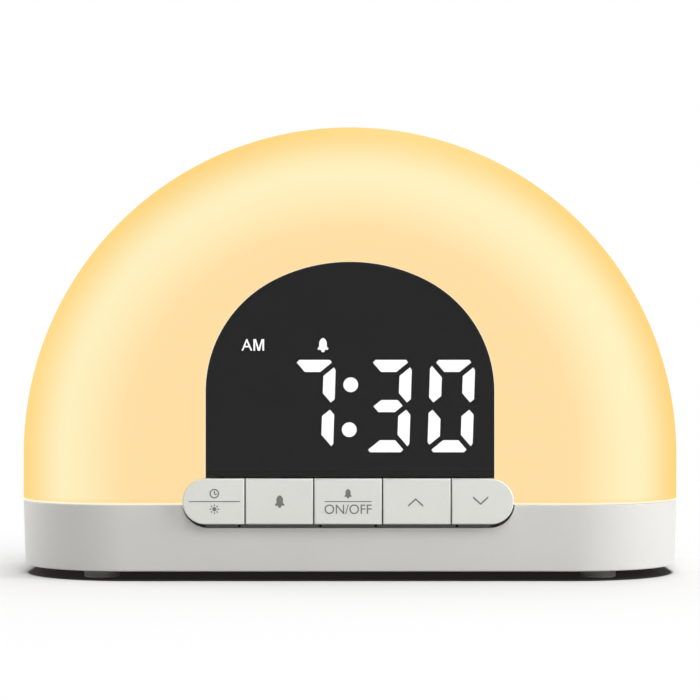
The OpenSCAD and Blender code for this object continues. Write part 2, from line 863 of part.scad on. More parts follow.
module key_cap(i) {
    straight = (keys_w - keys_h) / 2;
    start = max(key_start(i), keys_x - straight);
    end = min(key_end(i), keys_x + straight);
    retainer_h = keys_h + 2 * key_clear + 2;
    color("lightgray") {
        difference() {
            union() {
                at_depth(-key_proud, key_proud + cap_back) key_outline(i, 0);
                at_depth(retainer_front, retainer_t)
                    translate([start, keys_z - retainer_h / 2])
                        square([end - start, retainer_h]);
            }
            at_depth(-key_proud + cap_wall, key_proud + cap_back) key_outline(i, cap_wall);
        }
        rod(
            key_xs[i], -key_proud + cap_wall - tiny, keys_z,
            2.3, key_proud - cap_wall + tiny + stem_front
        );
    }
}

module key_time_dimmer() { key_cap(0); }
module key_alarm() { key_cap(1); }
module key_alarm_on_off() { key_cap(2); }
module key_up() { key_cap(3); }
module key_down() { key_cap(4); }

module stem(i) {
    color("dimgray") rod(key_xs[i], stem_front, keys_z, stem_r, stem_len);
}
module stem_time_dimmer() { stem(0); }
module stem_alarm() { stem(1); }
module stem_alarm_on_off() { stem(2); }
module stem_up() { stem(3); }
module stem_down() { stem(4); }

module switch_bodies() {
    color("silver")
        for (x = key_xs)
            difference() {
                block(x - switch_w / 2, switch_front, keys_z - switch_w / 2, [switch_w, switch_t, switch_w]);
                rod(
                    x, switch_front - through, keys_z, stem_r + stem_clear,
                    through + stem_front + stem_len + key_travel + 0.1 - switch_front
                );
            }
}

board_low = 14.5;
board_high = 27.5;
board_screw_x = end_block_in + end_block_w / 2;
module key_frame() {
    reach = end_block_in + end_block_w;
    frame_low = keyhole_low - frame_margin;
    frame_high = tunnel_low - 0.3;
    lip_reach = (keys_w - keys_h) / 2;
    lip_low = keyhole_low + 0.1;
    lip_high = keys_z - keys_h / 2 - key_clear;
    color("#3c3f3a")
        difference() {
            union() {
                at_depth(frame_front, frame_t)
                    difference() {
                        translate([-reach, frame_low]) square([2 * reach, frame_high - frame_low]);
                        translate([keys_x, keys_z])
                            pill(keys_w + 2 * key_clear, keys_h + 2 * key_clear);
                    }
                at_depth(0.4, frame_front)
                    translate([keys_x - lip_reach, lip_low])
                        square([2 * lip_reach, lip_high - lip_low]);
                for (side = [-1, 1]) {
                    block(
                        side * board_screw_x - end_block_w / 2, frame_front, board_low,
                        [end_block_w, switch_back - frame_front, board_high - board_low]
                    );
                    block(
                        side * (reach + ear_reach) / 2 - (ear_reach - reach) / 2 - 0.5,
                        ear_front, ear_z - 2.3,
                        [ear_reach - reach + 1, ear_t, 4.6]
                    );
                }
            }
            for (slit = [-28.6, -7.3, 7.3, 28.6])
                block(
                    keys_x + slit - 0.3, -through, lip_low - through,
                    [0.6, 3, through + lip_high - lip_low]
                );
            for (side = [-1, 1]) {
                rod(
                    side * ear_x, ear_front - through, ear_z,
                    small_screw_dia / 2 + 0.15, ear_t + 2 * through
                );
                rod(side * board_screw_x, switch_back - 5, keys_z, small_screw_dia / 2 + tiny, 6);
            }
        }
}
ear_reach = ear_x + 3.2;

module key_frame_screws() {
    color("silver")
        for (side = [-1, 1])
            screw_at(side * ear_x, ear_front + ear_t, ear_z, "front", small_screw_dia, 4.5);
}

module key_board() {
    reach = end_block_in + end_block_w;
    color("darkgreen")
        difference() {
            block(-reach, switch_back, board_low, [2 * reach, board_t, board_high - board_low]);
            for (side = [-1, 1])
                rod(
                    side * board_screw_x, switch_back - through, keys_z,
                    small_screw_dia / 2 + 0.15, board_t + 2 * through
                );
        }
}

module key_board_screws() {
    color("silver")
        for (side = [-1, 1])
            screw_at(side * board_screw_x, key_board_back, keys_z, "front", small_screw_dia, 5);
}

// Light

led_angles = [for (i = [0:led_count - 1]) 8 + 164 * i / (led_count - 1)];
module light_reflector() {
    foot_t = 1.6;
    foot_reach = reflector_screw_x + 6;
    color("white")
        difference() {
            union() {
                at_depth(tray_d, tray_wall) half_disc(tray_r, deck_top);
                at_depth(tray_d, 13)
                    difference() {
                        half_disc(tray_r, deck_top);
                        half_disc(tray_r - tray_wall, deck_top - through);
                    }
                block(-foot_reach, tray_d, deck_top, [2 * foot_reach, 12, foot_t]);
                for (post = cover_posts)
                    rod(
                        post[0], tray_back - tiny, post[1],
                        post_r, body_d - dome_wall - tray_back + tiny
                    );
                for (angle = standoff_angles)
                    rod(
                        standoff_r * cos(angle), tray_back - tiny, arc_z + standoff_r * sin(angle),
                        2.5, standoff_h + tiny
                    );
            }
            for (angle = led_angles)
                block(
                    led_r * cos(angle) - led_size / 2 - 0.6, tray_d - through,
                    arc_z + led_r * sin(angle) - led_size / 2 - 0.6,
                    [led_size + 1.2, tray_wall + 2 * through, led_size + 1.2]
                );
            for (boss = tunnel_bosses)
                rod(
                    boss[0], tray_d - through, boss[1],
                    small_screw_dia / 2 + 0.15, tray_wall + 2 * through
                );
            for (post = cover_posts)
                rod(post[0], body_d - dome_wall - 9, post[1], screw_dia / 2 + tiny, 10);
            for (angle = standoff_angles)
                rod(
                    standoff_r * cos(angle), tray_d + 0.3, arc_z + standoff_r * sin(angle),
                    small_screw_dia / 2 + tiny, standoff_h + tray_wall
                );
            for (side = [-1, 1])
                translate([side * reflector_screw_x, front_y + tray_d + reflector_foot_d, deck_top - through])
                    cylinder(r = small_screw_dia / 2 + 0.15, h = foot_t + 2 * through);
        }
}

module reflector_screws() {
    color("silver")
        for (side = [-1, 1])
            screw_at(
                side * reflector_screw_x, tray_d + reflector_foot_d, deck_top + 1.6,
                "down", small_screw_dia, 5.5
            );
}

light_board_out = 78;
light_board_in = 56;
light_board_low = 24;
module light_board() {
    color("white")
        difference() {
            at_depth(light_board_front, board_t)
                difference() {
                    half_disc(light_board_out, light_board_low);
                    half_disc(light_board_in, light_board_low - through);
                }
            for (angle = standoff_angles)
                rod(
                    standoff_r * cos(angle), light_board_front - through, arc_z + standoff_r * sin(angle),
                    small_screw_dia / 2 + 0.15, board_t + 2 * through
                );
        }
}

module light_diodes() {
    diode_t = 1.6;
    color("lightyellow")
        for (angle = led_angles)
            difference() {
                block(
                    led_r * cos(angle) - led_size / 2, light_board_front - diode_t,
                    arc_z + led_r * sin(angle) - led_size / 2,
                    [led_size, diode_t, led_size]
                );
                rod(
                    led_r * cos(angle), light_board_front - diode_t - through,
                    arc_z + led_r * sin(angle), led_size * 0.38, through + 0.3
                );
            }
}

module light_board_screws() {
    color("silver")
        for (angle = standoff_angles)
            screw_at(
                standoff_r * cos(angle), light_board_back, arc_z + standoff_r * sin(angle),
                "front", small_screw_dia, board_t + standoff_h
            );
}

// Sound

// Turns a profile of radius and depth around the speaker's axis, counted forwards from the cover's inside
module speaker_turned() {
    translate([0, front_y + body_d - dome_wall, speaker_z])
        rotate([90, 0, 0])
            rotate_extrude() children();
}

speaker_plate_t = 1;
rim_r = speaker_w / 2 - 1;
opening_r = speaker_w / 2 - 2.8;
module speaker_gasket() {
    color("#333333")
        speaker_turned() translate([opening_r - 0.4, 0]) square([rim_r - opening_r + 0.4, gasket_t]);
}

magnet_r = 11;
basket_h = 11;
module speaker_frame() {
    plate_low = gasket_t;
    plate_high = gasket_t + speaker_plate_t;
    color("darkgray")
        difference() {
            union() {
                at_depth(body_d - dome_wall - plate_high, speaker_plate_t)
                    translate([0, speaker_z]) square(speaker_w, center = true);
                speaker_turned()
                    polygon([
                        [opening_r, plate_low],
                        [rim_r, plate_low],
                        [rim_r, plate_high + 1],
                        [magnet_r, plate_high + basket_h],
                        [0, plate_high + basket_h],
                        [0, plate_high + basket_h - 1],
                        [magnet_r - 1, plate_high + basket_h - 1],
                        [opening_r, plate_high + 0.6]
                    ]);
            }
            speaker_turned() translate([0, -through]) square([opening_r, plate_high + through]);
            for (side = [-1, 1], level = [-1, 1])
                rod(
                    side * speaker_hole, body_d - dome_wall - plate_high - through,
                    speaker_z + level * speaker_hole, small_screw_dia / 2 + 0.15, 3
                );
        }
}

module speaker_cone() {
    edge = gasket_t + 0.3;
    color("dimgray")
        speaker_turned()
            polygon([
                [opening_r - tiny, edge], [opening_r - 1.2, edge], [opening_r - 2, edge - 0.6],
                [opening_r - 3, edge + 0.2], [6, edge + 7], [0, edge + 5.4],
                [0, edge + 5.8], [5.6, edge + 7.6], [6.3, edge + 7.6],
                [opening_r - 2.8, edge + 0.7], [opening_r - 2, edge],
                [opening_r - 1.2, edge + 0.5], [opening_r - tiny, edge + 0.5]
            ]);
}

module speaker_magnet() {
    seat = gasket_t + speaker_plate_t + basket_h;
    color("gray")
        speaker_turned() {
            translate([0, seat]) square([magnet_r, 5.5]);
            translate([0, seat + 5.5]) square([magnet_r - 1, 1.2]);
        }
}

module speaker_screws() {
    color("silver")
        for (side = [-1, 1], level = [-1, 1])
            screw_at(
                side * speaker_hole, body_d - dome_wall - gasket_t - speaker_plate_t,
                speaker_z + level * speaker_hole, "back", small_screw_dia * 0.8, 3.4
            );
}

// Main board

connector_h = 3;
connector_l = 5;
wire_z = main_board_top + connector_h / 2;
board_left = main_board_x - main_board_w / 2;
board_right = main_board_x + main_board_w / 2;
board_rear = main_board_d + main_board_l;
ribbon_t = 0.6;
display_ribbon_w = 18;
key_ribbon_x = 20;
key_ribbon_w = 8;
speaker_plug_x = 12;
board_mid_d = main_board_d + main_board_l / 2;
light_plug_d = cell_d + 2;
cell_plug_d = cell_d - 7;
plug_edge = 1;
plug_x = board_right - plug_edge;

// Chips: X and depth of the near left corner from the board's middle, then width, depth and height
chips = [
    [-12, -5, 12, 12, 1.6], [-26, -5, 5, 6, 1.4], [10, -1, 8, 6, 1.6],
    [-18, 10, 8, 3.6, 2.4], [22, -7, 6, 6, 1.5]
];

// A connector on the main board
module connector(x, d, w, l) {
    block(x, d, main_board_top, [w, l, connector_h]);
}
module main_board() {
    color("darkgreen")
        difference() {
            block(board_left, main_board_d, main_board_z, [main_board_w, main_board_l, board_t]);
            for (corner = main_board_corners)
                translate([corner[0], front_y + corner[1], main_board_z - through])
                    cylinder(r = small_screw_dia / 2 + 0.15, h = board_t + 2 * through);
        }
}

module board_chips() {
    color("#222222")
        for (chip = chips)
            block(
                main_board_x + chip[0], board_mid_d + chip[1], main_board_top,
                [chip[2], chip[3], chip[4]]
            );
    color("ivory") {
        front_d = main_board_d + plug_edge;
        connector(-display_ribbon_w / 2 - 1, front_d, display_ribbon_w + 2, connector_l);
        connector(key_ribbon_x - key_ribbon_w / 2 - 1, front_d, key_ribbon_w + 2, connector_l);
        connector(speaker_plug_x - 4, board_rear - plug_edge - connector_l, 8, connector_l);
        connector(inlet_x - 4, board_rear - inlet_plug_in - connector_l, 8, connector_l);
        for (d = [light_plug_d, cell_plug_d])
            connector(plug_x - connector_l, d - 3.5, connector_l, 7);
    }
}

// Capacitors: X and depth from the board's middle
inlet_plug_in = 6;
capacitor_places = [[-32, -9], [-33, 3], [28, 11]];
module board_capacitors() {
    can_h = min(6.5, deck_low - main_board_top - 0.6);
    color("steelblue")
        for (place = capacitor_places)
            translate([main_board_x + place[0], front_y + board_mid_d + place[1], main_board_top]) {
                cylinder(r = 3.15, h = can_h - 0.4);
                cylinder(r = 2.7, h = can_h);
            }
}

module main_board_screws() {
    color("silver")
        for (corner = main_board_corners)
            screw_at(
                corner[0], corner[1], main_board_top,
                "down", small_screw_dia, main_board_top - plate_top - 0.1
            );
}

// Power inlet

inlet_back = body_d - base_wall;
nose_back = body_d - base_draft - 0.2;
bore_end = nose_back - 10.5;
pin_r = 1;
pin_seat = 1.5;
module power_inlet() {
    color("#1a1a1a")
        difference() {
            union() {
                block(inlet_x - inlet_w / 2, inlet_back - inlet_l, plate_top, [inlet_w, inlet_l, inlet_h]);
                rod(inlet_x, inlet_back - through, inlet_z, nose_r, nose_back - inlet_back + through);
            }
            rod(inlet_x, bore_end, inlet_z, inlet_bore / 2, nose_back - bore_end + through);
            rod(inlet_x, bore_end - pin_seat, inlet_z, pin_r + 0.02, pin_seat + through);
        }
}

module inlet_pin() {
    color("gold") rod(inlet_x, bore_end - pin_seat, inlet_z, pin_r, nose_back - 0.9 - bore_end + pin_seat);
}

// Backup cell

module backup_cell() {
    color("silver")
        translate([cell_x, front_y + cell_d, cell_z]) {
            cylinder(r = cell_dia / 2, h = cell_t - 0.3);
            cylinder(r = cell_dia / 2 - 1.3, h = cell_t);
        }
}

strip_t = 0.3;
strip_z = cell_z + cell_t + 0.05;
tab_top = holder_top + 0.4;
side_strip_x = -cell_dia / 2 - 0.6;
module cell_contacts() {
    color("goldenrod")
        translate([cell_x, front_y + cell_d, 0]) {
            translate([-6, -2, strip_z]) cube([12, 4, strip_t]);
            translate([0, 0, strip_z]) cylinder(r = 0.9, h = tab_top - strip_z);
            translate([side_strip_x, -1.5, cell_z + 0.4]) cube([0.5, 3, tab_top - cell_z - 0.4]);
        }
}

module cell_door() {
    door_low = foot_lift + 0.1;
    color("lightgray")
        translate([cell_x, front_y + cell_d, 0])
            difference() {
                union() {
                    translate([0, 0, door_low]) cylinder(r = door_r, h = cell_z - 0.1 - door_low);
                    for (half = [0, 180])
                        lug_sector(door_r - 1, door_r + lug_len, lug_low, lug_high, half, lug_span);
                }
                translate([-6, -1, door_low - through]) cube([12, 2, through + 1]);
            }
}

// Leads

// A round wire swept along hand-set points of X, depth and Z, and shifted sideways from them.
// Its ends stand square, just short of what they are soldered or plugged to.
wire_r = 0.6;
wire_sides = 8;
wire_steps = 4;
wire_end_gap = 0.05;
function bend_point(p, i, t) =
    let (a = p[max(i - 1, 0)], b = p[i], c = p[i + 1], d = p[min(i + 2, len(p) - 1)])
        (2 * b + (c - a) * t + (2 * a - 5 * b + 4 * c - d) * t ^ 2 + (3 * b - a - 3 * c + d) * t ^ 3) / 2;
function smooth_route(p) = concat(
    [for (i = [0:len(p) - 2], k = [0:wire_steps - 1]) bend_point(p, i, k / wire_steps)],
    [p[len(p) - 1]]
);
function unit(v) = v / norm(v);
function headings(p, first, final) = concat(
    [first],
    [for (i = [1:len(p) - 2]) unit(p[i + 1] - p[i - 1])],
    [final]
);
function carried(heading, i, side) =
    i == len(heading) ? [] :
    let (next = unit(side - (side * heading[i]) * heading[i]))
        concat([next], carried(heading, i + 1, next));
module wire(points, first_side, shift) {
    places = [for (p = points) [p[0], front_y + p[1], p[2]]];
    curve = smooth_route(places);
    last = len(curve) - 1;
    first = unit(places[1] - places[0]);
    final = unit(places[len(places) - 1] - places[len(places) - 2]);
    heading = headings(curve, first, final);
    route = concat(
        [curve[0] + wire_end_gap * first],
        [for (i = [1:last - 1]) curve[i]],
        [curve[last] - wire_end_gap * final]
    );
    side = carried(heading, 0, first_side);
    n = wire_sides;
    polyhedron(
        points = [
            for (i = [0:last], k = [0:n - 1])
                route[i] + shift * side[i] + wire_r
                    * (cos(360 * k / n) * side[i] + sin(360 * k / n) * cross(heading[i], side[i]))
        ],
        faces = concat(
            [[for (k = [0:n - 1]) k], [for (k = [0:n - 1]) last * n + n - 1 - k]],
            [
                for (i = [0:last - 1], k = [0:n - 1])
                    [i * n + k, (i + 1) * n + k, (i + 1) * n + (k + 1) % n, i * n + (k + 1) % n]
            ]
        )
    );
}

// A red and a black wire side by side
module wire_pair(points, first_side) {
    pair_shift = wire_r + 0.15;
    color("firebrick") wire(points, first_side, -pair_shift);
    color("#222222") wire(points, first_side, pair_shift);
}

speaker_plate_front = body_d - dome_wall - gasket_t - speaker_plate_t;
light_route = [
    [half_w - 23, light_board_back, 28], [half_w - 23, light_board_back + 3, 28],
    [half_w - 20.5, light_board_back + 5, 24], [half_w - 19, light_board_back + 4.5, 17],
    [half_w - 21, light_board_back + 1.5, 13], [half_w - 26, light_board_back - 3, 12.5],
    [half_w - 36, light_plug_d, 12.5], [plug_x + 9, light_plug_d, 11.5],
    [plug_x + 4, light_plug_d, wire_z], [plug_x, light_plug_d, wire_z]
];
solder_x = 12.5;
solder_z = speaker_z - speaker_w / 2 + 1.8;
speaker_route = [
    [solder_x, speaker_plate_front, solder_z], [solder_x, speaker_plate_front - 2.3, solder_z],
    [12.2, speaker_plate_front - 6.3, 42], [12, board_rear + 3, 34],
    [speaker_plug_x, board_rear + 2.5, 22], [speaker_plug_x, board_rear + 3, 14],
    [speaker_plug_x, board_rear + 2, wire_z], [speaker_plug_x, board_rear - plug_edge, wire_z]
];
module light_lead() { wire_pair(light_route, [1, 0, 0]); }
module speaker_lead() { wire_pair(speaker_route, [1, 0, 0]); }

module inlet_lead() {
    inlet_front = inlet_back - inlet_l;
    wire_pair([
        [inlet_x, inlet_front, inlet_z + 3], [inlet_x, inlet_front - 1.5, inlet_z + 3],
        [inlet_x, board_rear - inlet_plug_in + 2.5, wire_z + 0.4],
        [inlet_x, board_rear - inlet_plug_in + 1.2, wire_z],
        [inlet_x, board_rear - inlet_plug_in, wire_z]
    ], [1, 0, 0]);
}

module cell_lead() {
    side_tab_x = cell_x + side_strip_x + 0.25;
    low_d = cell_plug_d - 1;
    high_d = cell_plug_d + 1;
    color("#222222")
        wire([
            [cell_x, cell_d, tab_top], [cell_x, cell_d, tab_top + 1.5], [cell_x - 5, cell_d - 5, 13],
            [plug_x + 9, low_d + 0.5, 12], [plug_x + 4, low_d, wire_z], [plug_x, low_d, wire_z]
        ], [0, 1, 0], 0);
    color("firebrick")
        wire([
            [side_tab_x, cell_d, tab_top], [side_tab_x, cell_d, tab_top + 1],
            [side_tab_x - 2.6, cell_d - 2.5, 12.2], [plug_x + 7, high_d + 1, 11],
            [plug_x + 4, high_d, wire_z], [plug_x, high_d, wire_z]
        ], [0, 1, 0], 0);
}

// A flat ribbon from a board's back, down at a depth and then back to a connector
module ribbon(x, w, start_d, start_z) {
    drop_d = 14.6;
    low = wire_z - ribbon_t / 2;
    block(x - w / 2, start_d, start_z, [w, drop_d + ribbon_t - start_d, ribbon_t]);
    block(x - w / 2, drop_d, low, [w, ribbon_t, start_z + ribbon_t - low]);
    block(x - w / 2, drop_d, low, [w, main_board_d + plug_edge - drop_d, ribbon_t]);
}

module display_ribbon() {
    color("slategray") ribbon(0, display_ribbon_w, display_board_back, tunnel_low + tunnel_wall + 2.3);
}

module key_ribbon() {
    color("slategray") ribbon(key_ribbon_x, key_ribbon_w, key_board_back, 17);
}

light_dome();
rear_cover();
rear_cover_screws();
base_housing();
base_plate();
base_plate_screws();
rubber_feet();
display_window();
display_tunnel();
tunnel_screws();
display_block();
lit_segments();
unlit_segments();
display_board();
display_board_screws();
key_frame();
key_frame_screws();
key_board();
key_board_screws();
switch_bodies();
key_time_dimmer();
key_alarm();
key_alarm_on_off();
key_up();
key_down();
stem_time_dimmer();
stem_alarm();
stem_alarm_on_off();
stem_up();
stem_down();
light_reflector();
reflector_screws();
light_board();
light_diodes();
light_board_screws();
speaker_gasket();
speaker_frame();
speaker_cone();
speaker_magnet();
speaker_screws();
main_board();
board_chips();
board_capacitors();
main_board_screws();
power_inlet();
inlet_pin();
backup_cell();
cell_contacts();
cell_door();
speaker_lead();
light_lead();
display_ribbon();
key_ribbon();
inlet_lead();
cell_lead();
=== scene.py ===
"""Looks of a bedside wake-up light.

A glowing half disc with a clock window stands on a low base with five keys. The script is laid out
as an add-on. Run as a script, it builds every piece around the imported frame.
"""

import math

import bmesh
import bpy
from bpy.props import FloatProperty, FloatVectorProperty, IntProperty, PointerProperty
from mathutils import Euler, Matrix, Vector


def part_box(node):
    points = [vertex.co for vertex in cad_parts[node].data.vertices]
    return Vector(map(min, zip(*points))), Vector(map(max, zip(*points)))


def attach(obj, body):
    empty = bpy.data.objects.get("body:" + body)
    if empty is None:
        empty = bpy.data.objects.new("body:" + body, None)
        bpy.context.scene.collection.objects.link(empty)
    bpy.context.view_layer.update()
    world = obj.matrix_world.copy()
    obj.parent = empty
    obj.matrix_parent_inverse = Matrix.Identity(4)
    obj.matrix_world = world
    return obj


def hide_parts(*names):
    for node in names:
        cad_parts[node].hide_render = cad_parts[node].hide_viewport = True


bl_info = {
    "name": "Wake-up Light Builder",
    "version": (1, 0, 0),
    "blender": (4, 5, 0),
    "location": "3D View > Sidebar > Wake-up Light",
    "description": "Builds the looks of a bedside wake-up light around its packed frame",
    "category": "Add Mesh",
}

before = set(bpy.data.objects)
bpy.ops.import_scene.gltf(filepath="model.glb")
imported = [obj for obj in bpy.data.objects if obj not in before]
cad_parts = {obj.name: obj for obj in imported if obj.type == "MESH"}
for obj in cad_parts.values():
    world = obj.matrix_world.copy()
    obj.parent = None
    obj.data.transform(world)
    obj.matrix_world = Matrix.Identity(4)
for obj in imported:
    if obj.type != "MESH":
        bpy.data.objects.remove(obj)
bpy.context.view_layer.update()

MM = 0.001
WHITE = (1, 1, 1, 1)
BLACK = (0, 0, 0, 1)
DIRECT_RAYS = ("Is Camera Ray", "Is Glossy Ray", "Is Transmission Ray")
# Positions of the depth and the height in a vector
Y, Z = 1, 2
# An edge is sharp if its two faces meet at a larger angle
SHARP = math.radians(32)
# Faces that differ by less are merged, in a copy of a CAD part and after a cut
FLAT = math.radians(0.4)
LEVEL = math.radians(0.01)
# Vertices that lie closer are one, and lengths that differ by less count as the same
MERGE = 0.001 * MM
SLACK = 0.02 * MM
# How far a cutting shape reaches past a wall, and into the open
THROUGH = 1 * MM
BEYOND = 10 * MM
# A face looks along an axis if this much of its normal does
MOSTLY = 0.9
NEARLY = 0.99
# Weights of the three directions in the order of places
UNEVEN = Vector((1, 37.7, 731.3))


def length(name, text, millimetres):
    """A property for a length, with its default in millimetres."""
    return FloatProperty(
        name=name, description=text, default=millimetres * MM, unit="LENGTH", subtype="DISTANCE"
    )


def angle(name, text, degrees):
    """A property for an angle, with its default in degrees."""
    return FloatProperty(
        name=name, description=text, default=math.radians(degrees), unit="ROTATION", subtype="ANGLE"
    )


def number(name, text, value):
    """A property for a plain number."""
    return FloatProperty(name=name, description=text, default=value)


def count(name, text, value):
    """A property for a whole number."""
    return IntProperty(name=name, description=text, default=value, min=1)


def tone(red, green, blue):
    """A colour from its red, green and blue as seen on a screen, each 0 to 255."""
    channels = []
    for value in (red, green, blue):
        part = value / 255
        channels.append(part / 12.92 if part <= 0.04045 else ((part + 0.055) / 1.055) ** 2.4)
    return (*channels, 1.0)


def colour(name, text, red, green, blue):
    """A property for a colour, with its default as seen on a screen."""
    return FloatVectorProperty(
        name=name, description=text, default=tone(red, green, blue), size=4, min=0, max=1,
        subtype="COLOR",
    )


class WakeLightShell(bpy.types.PropertyGroup):
    """Sizes of the dome, the rear cover and the base."""

    radius: length("Dome radius", "Radius of the half disc, and half the width of the clock", 89.4)
    arc_height: length("Arc height", "Height of the half disc's centre above the table", 32.3)
    front: length("Front", "Place of the flat front along the depth", -36.4)
    cover_seam: length("Cover seam", "Place of the seam between dome and rear cover", 25.6)
    back: length("Back", "Place of the flat back along the depth", 38.6)
    front_round: length("Front rounding", "Radius between the front and the sides", 30)
    rear_round: length("Rear rounding", "Radius between the back and the sides", 12)
    wall: length("Wall", "Thickness of the shells", 2.2)
    seam: length("Seam", "Height of the dome's lower edge", 20)
    base_top: length("Base top", "Height of the base's upper edge", 19.8)
    base_bottom: length("Base bottom", "Height of the base's lower edge", 2.4)
    base_lean: length("Base lean", "How far the base's wall leans in at its lower edge", 0.5)
    base_round: length("Base rounding", "Radius of the base's lower edge", 0.35)
    rim: length("Rim", "Width of the rim around the base plate", 5)
    tongue_gap: length("Tongue gap", "Gap between the dome's wall and the tongue behind it", 0.15)
    tongue_wall: length("Tongue wall", "Thickness of the tongue", 1.2)
    tongue_drop: length("Tongue drop", "How far the tongue reaches below the dome", 2)
    tongue_rise: length("Tongue rise", "How far the tongue reaches up behind the dome", 1)
    tongue_end: length("Tongue end", "Distance of the tongue's ends from the seam of the cover", 4)
    tongue_bay: length("Tongue bay", "Space beside the keys that the tongue leaves free", 6.85)
    segments: count("Segments", "Sides of the full circle that the half disc is cut from", 288)
    round_steps: count("Rounding steps", "Faces across a large rounding", 28)


class WakeLightGlow(bpy.types.PropertyGroup):
    """Where the dome's light changes."""

    bend_start: length("Bend start", "Distance from the centre where the bright bend begins", 56)
    bend_end: length("Bend end", "Distance from the centre where the bend is brightest", 76)
    rim_start: length("Rim start", "Distance from the centre where the orange rim begins", 75)
    rim_end: length("Rim end", "Distance from the centre where the rim is most orange", 91)
    side_start: length("Side start", "Place along the depth where the side's own light begins", -8)
    side_end: length("Side end", "Place along the depth from which the side's light is even", 26)
    line_top: length("Line top", "Height up to which the lower edge is a bright line", 20.3)
    band_low: length("Band low", "Height at which the band above the line is strongest", 20.6)
    band_top: length("Band top", "Height at which the band above the line has faded", 21.6)
    band_share: number("Band share", "How much of its own colour the band shows", 0.4)
    unevenness: length("Unevenness", "How far the places of the bend and the rim waver", 1.5)
    edge_share: number("Edge share", "How bright the cut edges of the dome are, from 0 to 1", 0.85)
    digits: number("Digit light", "Strength of the light of the digits", 8.6)
    diodes: number("Diode light", "Strength of the light of the diodes", 1.6)


class WakeLightOpenings(bpy.types.PropertyGroup):
    """Sizes of the window, the keyhole and the grille."""

    half_width: length("Window half width", "Half the width of the window", 38.05)
    low: length("Window low", "Height of the window's lower edge", 27.3)
    spring: length("Window spring", "Height at which the window's sides start to bend", 49.7)
    top: length("Window top", "Height of the window's top", 83.9)
    shoulder_step: length(
        "Shoulder step", "How much smaller the shoulders' radius is than their rise", 1.2
    )
    keyhole_x: length(
        "Keyhole place", "Sideways place of the middle of the hole for the keys", -0.5
    )
    keyhole_width: length("Keyhole width", "Width of the hole for the keys", 87.3)
    keyhole_low: length("Keyhole low", "Height of the keyhole's lower edge", 13.9)
    keyhole_top: length("Keyhole top", "Height of the keyhole's upper edge", 27.15)
    keyhole_shift: length(
        "Keyhole shift", "How far the hole for the keys sits to the right of them", 0.15
    )
    dome_gap: length(
        "Dome gap", "How much closer the dome comes to the keys than the base does", 0.12
    )
    dome_shift: length("Dome shift", "How far the dome's hole sits left of the base's hole", 0.05)
    grille_hole: length("Grille hole", "Diameter of a hole of the speaker grille", 2.2)
    grille_step: length("Grille step", "Distance from one ring of holes to the next", 4.2)
    grille_rings: count("Grille rings", "Rings of holes around the middle one", 3)
    grille_height: length("Grille height", "Height of the grille's centre", 64)
    grille_depth: length("Grille depth", "Length of the tools that cut the grille's holes", 8)
    screw_hole: length(
        "Screw hole", "Radius of the hole for a screw's head in the rear cover", 2.77
    )
    screw_depth: length("Screw depth", "Length of the tools that cut the screws' holes", 3)
    low_screw_x: length("Low screw place", "Sideways place of the lower screws", 44)
    low_screw_z: length("Low screw height", "Height of the lower screws", 26)
    high_screw_x: length("High screw place", "Sideways place of the upper screws", 36)
    high_screw_z: length("High screw height", "Height of the upper screws", 66)
    plug_x: length("Plug place", "Sideways place of the hole for the power plug", -30)
    plug_z: length("Plug height", "Height of the hole for the power plug", 9.7)
    plug_hole: length("Plug hole", "Radius of the hole for the power plug", 4)


class WakeLightEdges(bpy.types.PropertyGroup):
    """Widths of the small roundings on the edges."""

    dome_front: length("Dome front", "Edges of the dome's openings", 0.2)
    seam: length("Seam", "Outer edges where the dome meets the rear cover", 0.3)
    cover_back: length("Cover back", "Edges of the rear cover's holes", 0.25)
    base_top: length("Base top", "Upper edges of the base", 0.25)
    keyhole: length("Keyhole", "Edges of the base's hole for the keys", 0.1)
    plate: length("Plate", "Edges of the base plate and of the battery door", 0.15)
    screw: length("Screw", "Edges of the screws' heads", 0.12)
    foot: length("Foot", "Edges of the feet", 0.4)
    inlet: length("Inlet", "Edges of the power inlet", 0.2)
    pane: length("Pane", "Edges of the window pane", 0.2)
    key: length("Key", "Front edges of a key", 0.4)
    key_frame: length("Key frame", "Edges of the frame around the keys", 0.08)
    # Edges of the black blocks in the key frame's slits, which are painted shade
    stop: length("Stop", "Edges of the black stops in the frame", 0.04)


